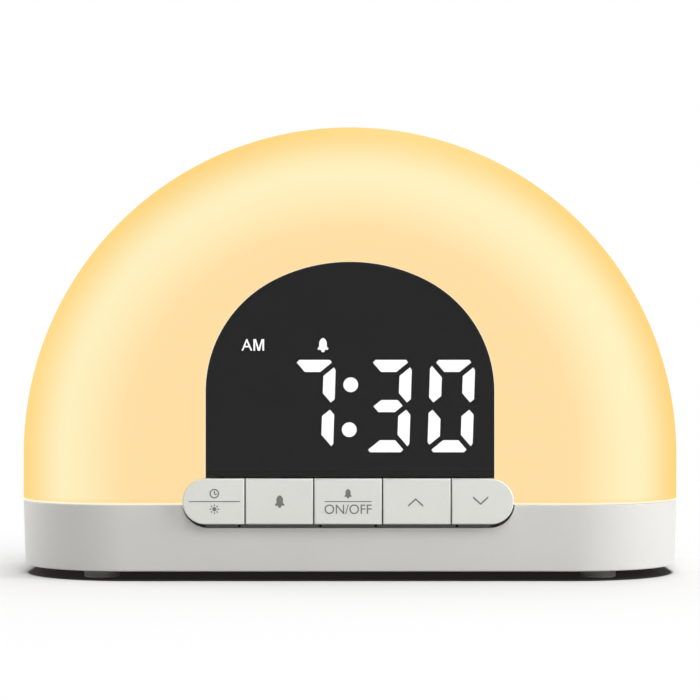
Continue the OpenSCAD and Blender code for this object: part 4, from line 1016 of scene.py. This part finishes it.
class Printer:
    """Makes flat signs on a plane that faces the front."""

    def __init__(self, face, depth, stroke):
        self.face = face
        self.depth = depth
        self.stroke = stroke
        self.middle = face + depth / 2

    def bar(self, x, z, width, height, turn=0.0):
        """A bar, centred and turned."""
        place = Matrix.Translation((x, self.middle, z)) @ Matrix.Rotation(turn, 4, "Y")
        bm = bmesh.new()
        bmesh.ops.create_cube(
            bm, size=1, matrix=place @ Matrix.Diagonal((width, self.depth, height, 1))
        )
        return bm

    def disc(self, x, z, radius):
        """A disc."""
        return rod_shape((x, self.middle, z), radius, self.depth, sides=32)

    def ring(self, x, z, radius):
        """A ring, as thick as the stroke."""
        centre = (x, self.middle, z)
        hole = rod_shape(centre, radius - self.stroke, 4 * self.depth, sides=48)
        return cut(rod_shape(centre, radius, self.depth, sides=48), hole)

    def clock(self, x, z, height):
        """A clock face with two hands."""
        hand = 0.27 * height
        return merged(
            self.ring(x, z, height / 2),
            self.bar(x, z + hand / 2, self.stroke, hand),
            self.bar(x + hand / 2, z - self.stroke / 2, hand, self.stroke),
        )

    def sun(self, x, z, height):
        """A sun with eight rays."""
        parts = [self.disc(x, z, 0.22 * height)]
        reach, ray = 0.41 * height, 0.18 * height
        for step in range(8):
            turn = step * math.pi / 4
            ray_x, ray_z = x + reach * math.sin(turn), z + reach * math.cos(turn)
            parts.append(self.bar(ray_x, ray_z, self.stroke, ray, turn))
        return merged(*parts)

    def bell(self, x, z, height):
        """A bell with a pointed top, a flared rim and a clapper, drawn 2.63 units high."""
        unit = height / 2.63
        rim, flare, waist = z - 0.865 * unit, 0.81 * unit, 0.55 * unit
        side, curl, lean = 0.7 * unit, 0.19 * unit, 0.36 * unit
        spring = rim + 1.19 * unit
        rise = math.acos(lean / (side + lean))
        roll = math.radians(140)
        trace = Outline(x + flare, rim, self.face)
        trace.arc(x + flare, rim + curl, roll, 8)
        trace.line(x + side, rim + waist)
        trace.line(x + side, spring)
        trace.arc(x - lean, spring, rise, 10)
        trace.arc(x + lean, spring, rise, 10)
        trace.line(x - side, rim + waist)
        trace.line(x - flare - curl * math.sin(roll), rim + curl - curl * math.cos(roll))
        trace.arc(x - flare, rim + curl, roll, 8)
        ball, drop = 0.35 * unit, 0.1 * unit
        clapper = Outline(x - ball, rim, self.face)
        clapper.line(x - ball, rim - drop)
        clapper.arc(x, rim - drop, math.pi, 16)
        clapper.line(x + ball, rim)
        return merged(trace.solid(self.depth), clapper.solid(self.depth))

    def chevron(self, x, z, height, upwards):
        """An arrowhead that points up or down."""
        way = 1 if upwards else -1
        half, tip = 0.6 * height, way * 0.27 * height
        thick = way * 1.7 * self.stroke
        trace = Outline(x - half, z - tip, self.face)
        low = -tip - thick
        corners = ((0, tip), (half, -tip), (half, low), (0, tip - thick), (-half, low))
        for corner_x, corner_z in corners:
            trace.line(x + corner_x, z + corner_z)
        return trace.solid(self.depth)

    def letter_m(self, x, z, width, height):
        """A capital M whose middle comes down to the line."""
        half, low, high = width / 2, z - height / 2, z + height / 2
        thick = self.stroke
        shoulder, notch, foot, armpit = 1.45 * thick, 1.5 * thick, 0.6 * thick, 1.3 * thick
        trace = Outline(x - half, low, self.face)
        corners = (
            (-half, high), (shoulder - half, high), (0, low + notch), (half - shoulder, high),
            (half, high), (half, low), (half - thick, low), (half - thick, high - armpit),
            (foot, low), (-foot, low), (thick - half, high - armpit), (thick - half, low),
        )
        for corner_x, corner_z in corners:
            trace.line(x + corner_x, corner_z)
        return trace.solid(self.depth)

    def letters(self, text, x, z, width, height):
        """Capitals in the box of this width and height."""
        curve = bpy.data.curves.new("letters", "FONT")
        curve.body = text
        made = add_object("letters", curve)
        graph = bpy.context.evaluated_depsgraph_get()
        mesh = bpy.data.meshes.new_from_object(made.evaluated_get(graph))
        bm = bmesh.new()
        bm.from_mesh(mesh)
        bpy.data.objects.remove(made)
        bpy.data.curves.remove(curve)
        bpy.data.meshes.remove(mesh)
        xs, ys = [v.co.x for v in bm.verts], [v.co.y for v in bm.verts]
        left, right, bottom, top = min(xs), max(xs), min(ys), max(ys)
        stretch = Matrix.Diagonal((width / (right - left), height / (top - bottom), 1, 1))
        centre = Vector(((right + left) / 2, (top + bottom) / 2, 0))
        place = Matrix.Translation((x, self.face + self.depth, z)) @ ALONG_Y
        whole = place @ stretch @ Matrix.Translation(-centre)
        bmesh.ops.transform(bm, matrix=whole, verts=bm.verts)
        return pushed_out(bm, -self.depth)


# Operators, one for each group of pieces


class WAKELIGHT_OT_dome(bpy.types.Operator):
    """Adds the glowing half disc with its window and its cut for the keys"""

    bl_idname = "wake_light.dome"
    bl_label = "Dome"

    def execute(self, context):
        size, hole, widths = shell(), openings(), edge_widths()
        bm = half_disc_shell(size.front, size.cover_seam, size.front_round, True)
        front, back = size.front - THROUGH, size.front + size.wall + THROUGH
        arch = arch_prism(size.seam + THROUGH, front, back)
        keyhole = pill_prism(-hole.dome_gap, hole.keyhole_shift - hole.dome_shift, front, back)
        bm = cut(bm, arch, keyhole)
        in_front = sharp_edges(bm, lambda edge: lies_at(edge, Y, size.front))
        round_edges(bm, in_front, widths.dome_front, segments=3)
        round_edges(bm, sharp_edges(bm, outer_seam), widths.seam)
        reach, lowest = hole.half_width + THROUGH / 2, hole.keyhole_top + THROUGH / 2
        for face in bm.faces:
            middle = face.calc_center_median()
            hole_side = middle.y < back and not looks_along(face, Y) and abs(middle.x) < reach
            if hole_side and middle.z > lowest:
                face.material_index = 1
        add_piece("light_dome_shell", bm, "clock", "dome", ["light_dome"], "dome_edge")
        inset = size.wall + size.tongue_gap
        tongue = plan_prism(inset, size.seam - size.tongue_drop, size.seam + size.tongue_rise)
        flat = [f for f in tongue.faces if looks_along(f, Z)]
        bmesh.ops.delete(tongue, geom=flat, context="FACES")
        bmesh.ops.bisect_plane(
            tongue, geom=everything(tongue), dist=MERGE, clear_outer=True,
            plane_co=(0, size.cover_seam - size.tongue_end, 0), plane_no=(0, 1, 0),
        )
        tongue = thickened(tongue, size.tongue_wall)
        half = hole.keyhole_width / 2 + size.tongue_bay
        top = size.seam + BEYOND
        bay = box_shape((-half, size.front - THROUGH, 0), (half, size.front + BEYOND, top))
        add_piece("light_dome_tongue", cut(tongue, bay), "clock", "dome_edge")
        return {"FINISHED"}


class WAKELIGHT_OT_rear_cover(bpy.types.Operator):
    """Adds the rear cover with its speaker grille and screws"""

    bl_idname = "wake_light.rear_cover"
    bl_label = "Rear cover"

    def execute(self, context):
        size, hole, widths = shell(), openings(), edge_widths()
        bm = half_disc_shell(size.cover_seam, size.back, size.rear_round, False)
        tools = []
        for ring in range(hole.grille_rings + 1):
            around = max(1, 6 * ring)
            for step in range(around):
                turn = 2 * math.pi * step / around
                x = ring * hole.grille_step * math.cos(turn)
                z = hole.grille_height + ring * hole.grille_step * math.sin(turn)
                place = (x, size.back, z)
                tools.append(rod_shape(place, hole.grille_hole / 2, hole.grille_depth, sides=32))
        screws = ((hole.low_screw_x, hole.low_screw_z), (hole.high_screw_x, hole.high_screw_z))
        for x, z in screws:
            for side in (-1, 1):
                place = (side * x, size.back, z)
                tools.append(rod_shape(place, hole.screw_hole, hole.screw_depth))
        bm = cut(bm, merged(*tools))
        behind = sharp_edges(bm, lambda edge: lies_at(edge, Y, size.back))
        round_edges(bm, behind, widths.cover_back)
        round_edges(bm, sharp_edges(bm, outer_seam), widths.seam)
        add_piece("rear_cover_shell", bm, "clock", "cover", ["rear_cover"])
        softened("cover_screws", "rear_cover_screws", "clock", "screw_steel", widths.screw)
        return {"FINISHED"}


class WAKELIGHT_OT_base(bpy.types.Operator):
    """Adds the base housing with the cut for the keys and the hole for the power plug"""

    bl_idname = "wake_light.base"
    bl_label = "Base housing"

    def execute(self, context):
        size, hole, widths = shell(), openings(), edge_widths()
        bm = plan_prism(0, size.base_bottom, size.base_top)
        bottom = [v for v in bm.verts if near(v.co.z, size.base_bottom)]
        depth = (size.back - size.front) / 2
        centre = Matrix.Translation((0, -(size.back + size.front) / 2, 0))
        factor = ((size.radius - size.base_lean) / size.radius, (depth - size.base_lean) / depth, 1)
        bmesh.ops.scale(bm, verts=bottom, vec=factor, space=centre)
        rim = [e for e in bm.edges if lies_at(e, Z, size.base_bottom)]
        round_edges(bm, rim, size.base_round, segments=8)
        floor = [f for f in bm.faces if f.normal.z < -NEARLY]
        width = size.rim - size.base_lean - size.base_round
        bmesh.ops.inset_region(bm, faces=floor, thickness=width, use_even_offset=True)
        bmesh.ops.delete(bm, geom=[f for f in floor if f.is_valid], context="FACES")
        top = [f for f in bm.faces if f.normal.z > NEARLY]
        bmesh.ops.delete(bm, geom=top, context="FACES")
        bm = thickened(bm, size.wall)
        front, back = size.front - THROUGH, size.front + size.wall + THROUGH
        plug = rod_shape((hole.plug_x, size.back, hole.plug_z), hole.plug_hole, BEYOND)
        bm = cut(bm, pill_prism(0, hole.keyhole_shift, front, back), plug)
        reach, deepest = hole.keyhole_width / 2 + 2 * THROUGH, size.front + THROUGH / 2

        def around_keys(edge):
            return all(v.co.y < deepest and abs(v.co.x) < reach for v in edge.verts)

        on_top = sharp_edges(bm, lambda edge: lies_at(edge, Z, size.base_top))
        round_edges(bm, on_top, widths.base_top)
        round_edges(bm, sharp_edges(bm, around_keys), widths.keyhole)
        add_piece("base_shell", bm, "clock", "base", ["base_housing"])
        return {"FINISHED"}


class WAKELIGHT_OT_underside(bpy.types.Operator):
    """Adds the base plate, its screws, the rubber feet and the door of the backup cell"""

    bl_idname = "wake_light.underside"
    bl_label = "Underside"

    def execute(self, context):
        widths = edge_widths()
        softened("bottom_plate", "base_plate", "clock", "base", widths.plate)
        softened("bottom_screws", "base_plate_screws", "clock", "screw_steel", widths.screw)
        feet = cad_copy("rubber_feet")
        round_edges(feet, sharp_edges(feet), widths.foot, 3)
        # The lowest faces get a lighter rubber: a painted highlight along the feet's lower rim
        for part in feet.faces:
            if part.calc_center_median().z < 1.5 * widths.foot:
                part.material_index = 1
        add_piece("feet", feet, "clock", "foot_rubber", ["rubber_feet"], "foot_painted_highlight")
        softened("battery_lid", "cell_door", "battery_door", "base", widths.plate)
        softened("power_socket", "power_inlet", "clock", "black_plastic", widths.inlet)
        softened("power_pin", "inlet_pin", "clock", "contact_metal", widths.inlet)
        return {"FINISHED"}


def without_small_signs(node):
    """The segments of the large digits alone."""
    bm = cad_copy(node)
    small = [f for f in bm.faces if f.calc_center_median().z > display().lowest]
    bmesh.ops.delete(bm, geom=small, context="FACES")
    return bm


class WAKELIGHT_OT_window(bpy.types.Operator):
    """Adds the smoked window, the black mask behind it and the lit digits and signs"""

    bl_idname = "wake_light.window"
    bl_label = "Window"

    def execute(self, context):
        size = display()
        pane = cad_copy("display_window")
        pane_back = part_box("display_window")[1].y
        behind = [v for v in pane.verts if near(v.co.y, pane_back)]
        bmesh.ops.translate(pane, verts=behind, vec=(0, -size.pane_step, 0))
        round_edges(pane, sharp_edges(pane), edge_widths().pane)
        add_piece("window_pane", pane, "clock", "smoked_window", ["display_window"])
        mask_back = pane_back - size.mask_gap
        mask_front = mask_back - size.mask_depth
        mask = arch_prism(openings().low + size.mask_low, mask_front, mask_back, -size.mask_grow)
        digits = without_small_signs("lit_segments")
        tools = [digits.copy(), without_small_signs("unlit_segments")]
        for tool in tools:
            bmesh.ops.translate(tool, verts=tool.verts, vec=(0, -size.mask_reach, 0))
        add_piece("window_mask", cut(mask, merged(*tools)), "clock", "block_black")
        light = Printer(mask_front - size.mask_gap, size.sign_depth, size.stroke)
        z, height = size.letter_z, size.letter_height
        signs = merged(
            digits,
            light.letters("A", size.letter_a_x, z, size.letter_a_width, height),
            light.letter_m(size.letter_m_x, z, size.letter_m_width, height),
            light.bell(size.bell_x, size.bell_z, size.bell_height),
        )
        add_piece("lit_signs", signs, "clock", "lit_white", ["lit_segments"])
        return {"FINISHED"}


KEY_NODES = {
    "key_time_dimmer": "time_dimmer_key",
    "key_alarm": "alarm_key",
    "key_alarm_on_off": "alarm_on_off_key",
    "key_up": "up_key",
    "key_down": "down_key",
}


class WAKELIGHT_OT_keys(bpy.types.Operator):
    """Adds the five key caps with their soft front edges, and the frame around them with black
    blocks in its slits as painted shade
    """

    bl_idname = "wake_light.keys"
    bl_label = "Keys"

    def execute(self, context):
        size, widths = keys(), edge_widths()
        face = size.face + size.print_depth
        for node, body in KEY_NODES.items():
            bm = cad_copy(node)
            ahead = [v for v in bm.verts if near(v.co.y, size.face)]
            bmesh.ops.translate(bm, verts=ahead, vec=(0, size.print_depth, 0))
            edges = sharp_edges(bm, lambda edge: lies_at(edge, Y, face))
            round_edges(bm, edges, widths.key, segments=4)
            add_piece(node.replace("key_", "cap_"), bm, body, "key_caps", [node])
        bm = cad_copy("key_frame")
        round_edges(bm, sharp_edges(bm), widths.key_frame)
        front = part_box("key_frame")[0].y
        # Faces behind the lip, and faces looking sideways, get black plastic: painted shade inside
        # the frame around the keys
        for part in bm.faces:
            if part.calc_center_median().y > front + size.lip or abs(part.normal.x) > 0.7:
                part.material_index = 1
        add_piece("frame_of_keys", bm, "clock", "dark_plastic", ["key_frame"], "black_plastic")
        # Black blocks in the four slits of the frame: painted shade, so that the slits read dark
        front += size.shade_block_step
        shade_blocks = []
        half = size.shade_block_width / 2
        for place in (-size.outer_slit, -size.inner_slit, size.inner_slit, size.outer_slit):
            x = size.third_x + place
            stop = box_shape(
                (x - half, front, size.shade_block_low), (x + half, front + size.shade_block_depth, size.shade_block_top)
            )
            round_edges(stop, sharp_edges(stop), widths.stop)
            shade_blocks.append(stop)
        add_piece("frame_stops", merged(*shade_blocks), "clock", "deep_black")
        return {"FINISHED"}


class WAKELIGHT_OT_signs(bpy.types.Operator):
    """Adds the grey signs that are printed on the keys"""

    bl_idname = "wake_light.signs"
    bl_label = "Key signs"

    def execute(self, context):
        size = keys()
        ink = Printer(size.face, size.print_depth, size.stroke)
        line = 0.8 * size.stroke
        small, large = size.letter_height, size.large_sign
        first = merged(
            ink.clock(size.first_x, size.upper, small),
            ink.bar(size.first_x, size.row_middle, size.first_line, line),
            ink.sun(size.first_x, size.lower, small),
        )
        third = merged(
            ink.bell(size.third_x, size.upper, small),
            ink.bar(size.third_x, size.row_middle, size.third_line, line),
            ink.letters("ON/OFF", size.third_x, size.lower, size.third_line, small),
        )
        signs = {
            "time_dimmer_key": first,
            "alarm_key": ink.bell(size.second_x, size.row_middle, large),
            "alarm_on_off_key": third,
            "up_key": ink.chevron(size.fourth_x, size.row_middle, large, True),
            "down_key": ink.chevron(size.fifth_x, size.row_middle, large, False),
        }
        for body, shape in signs.items():
            add_piece(body.replace("_key", "_sign"), shape, body, "key_print")
        return {"FINISHED"}


OWN_FINISH = {"display_block": "block_black"}


class WAKELIGHT_OT_inside(bpy.types.Operator):
    """Gives the parts inside the clock their finishes"""

    bl_idname = "wake_light.inside"
    bl_label = "Inside"

    def execute(self, context):
        for name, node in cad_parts.items():
            for slot in node.material_slots:
                slot.material = material(OWN_FINISH.get(name, slot_name(slot)))
        return {"FINISHED"}


def floor_material():
    """White floor, with a painted dark shadow and a faint painted glow under the clock, and a soft
    shadow around it.
    """
    size, plan, hue = bpy.context.scene.wake_light_stage, shell(), colours()
    maker = Maker("floor_white")
    x, y = maker.axes((0, (plan.front + plan.back) / 2 / MM, 0))[:2]
    rear, front = plan.rear_round / MM, plan.front_round / MM
    behind = y.ramp(-1.0, 1.0)
    corner = rear + (front - rear) * (1 - behind)
    half_width, half_depth = plan.radius / MM, (plan.back - plan.front) / 2 / MM
    beside = (x.size() + corner - half_width + size.painted_shadow_side / MM).most(0.0)
    ahead = (y.size() + corner - half_depth - size.painted_shadow_front / MM).most(0.0)
    edge = (beside * beside + ahead * ahead) ** 0.5 - corner
    # 0 under the clock, where the floor takes the painted shadow and the painted glow, and 1 beyond
    # its blurred edge
    outside = edge.between(-size.painted_shadow_blur, size.painted_shadow_blur)
    pale = maker.mix(maker.noise(0.002), tone(217, 217, 217), tone(219, 219, 219))
    lit = maker.surface({
        "Base Color": maker.mix(outside, hue["contact"], pale),
        "Emission Color": maker.mix(outside, hue["contact_light"], BLACK),
        "Emission Strength": 1.0,
        "Roughness": 0.9,
        "Specular IOR Level": 0.1,
    })
    white = maker.node("Emission", {}, {"Color": WHITE, "Strength": 1.0})
    away = edge.most(0.0)
    faded = (away / (away + size.floor_fade / MM) * size.floor_gain).least(1.0)
    inputs = {0: faded * maker.direct_rays(), 1: lit.outputs[0], 2: white.outputs[0]}
    return maker.finish(maker.node("MixShader", {}, inputs))


def add_floor(size):
    """Adds the floor, which is no part of the object."""
    bm = bmesh.new()
    bmesh.ops.create_grid(bm, x_segments=8, y_segments=8, size=size.floor_half)
    floor = add_object("floor", mesh_from("floor", bm))
    floor.data.materials.append(floor_material())


def add_surroundings(size):
    """White for direct rays, and a dimmer even light for the others."""
    maker = Maker("surroundings", bpy.data.worlds)
    even = maker.node("Background", {}, {"Color": WHITE, "Strength": size.ambient})
    white = maker.node("Background", {}, {"Color": WHITE, "Strength": 1.0})
    inputs = {0: maker.direct_rays(), 1: even.outputs[0], 2: white.outputs[0]}
    bpy.context.scene.world = maker.finish(maker.node("MixShader", {}, inputs), "OutputWorld")


def add_lamps(size):
    """Adds the four lamps, aimed at a point above the middle of the clock."""
    aim = Vector((0, 0, size.camera_height))
    for side in ("right", "left", "front", "rear"):
        lamp = bpy.data.lights.new("lamp_" + side, "AREA")
        lamp.energy = getattr(size, side + "_power")
        lamp.size = size.lamp_width
        made = add_object("lamp_" + side, lamp)
        around, above = getattr(size, side + "_around"), getattr(size, side + "_above")
        turn = Euler((0, -above, around - math.radians(90)))
        made.location = aim + turn.to_matrix() @ Vector((size.lamp_distance, 0, 0))
        made.rotation_euler = (aim - made.location).to_track_quat("-Z", "Y").to_euler()


def add_camera(size):
    """Adds a level camera in front of the clock."""
    camera = bpy.data.cameras.new("camera")
    camera.lens = size.lens
    camera.sensor_width = size.sensor
    seat = add_object("camera", camera)
    seat.location = (0, -size.camera_distance, size.camera_height)
    seat.rotation_euler = (math.radians(90), 0, 0)
    bpy.context.scene.camera = seat


class WAKELIGHT_OT_stage(bpy.types.Operator):
    """Adds the floor, the white surroundings, the lamps and the camera"""

    bl_idname = "wake_light.stage"
    bl_label = "Stage"

    def execute(self, context):
        for step in (add_floor, add_surroundings, add_lamps, add_camera):
            step(context.scene.wake_light_stage)
        context.scene.view_settings.view_transform = "Standard"
        return {"FINISHED"}


class WAKELIGHT_PT_builder(bpy.types.Panel):
    """Lists the steps of the build"""

    bl_label = "Wake-up Light"
    bl_idname = "WAKELIGHT_PT_builder"
    bl_space_type = "VIEW_3D"
    bl_region_type = "UI"
    bl_category = "Wake-up Light"

    def draw(self, context):
        for step in STEPS:
            self.layout.operator(step.bl_idname)


STEPS = (
    WAKELIGHT_OT_dome,
    WAKELIGHT_OT_rear_cover,
    WAKELIGHT_OT_base,
    WAKELIGHT_OT_underside,
    WAKELIGHT_OT_window,
    WAKELIGHT_OT_keys,
    WAKELIGHT_OT_signs,
    WAKELIGHT_OT_inside,
    WAKELIGHT_OT_stage,
)
GROUPS = {
    "wake_light_shell": WakeLightShell,
    "wake_light_glow": WakeLightGlow,
    "wake_light_openings": WakeLightOpenings,
    "wake_light_edges": WakeLightEdges,
    "wake_light_keys": WakeLightKeys,
    "wake_light_display": WakeLightDisplay,
    "wake_light_colours": WakeLightColours,
    "wake_light_stage": WakeLightStage,
}


def register():
    """Adds the settings, the operators and the panel."""
    for name, group in GROUPS.items():
        bpy.utils.register_class(group)
        setattr(bpy.types.Scene, name, PointerProperty(type=group))
    for step in (*STEPS, WAKELIGHT_PT_builder):
        bpy.utils.register_class(step)


def unregister():
    """Removes what register() added."""
    for step in reversed((*STEPS, WAKELIGHT_PT_builder)):
        bpy.utils.unregister_class(step)
    for name, group in reversed(GROUPS.items()):
        delattr(bpy.types.Scene, name)
        bpy.utils.unregister_class(group)


def main():
    """Builds the whole clock."""
    register()
    for step in STEPS:
        family, name = step.bl_idname.split(".")
        getattr(getattr(bpy.ops, family), name)()


if __name__ == "__main__":
    main()
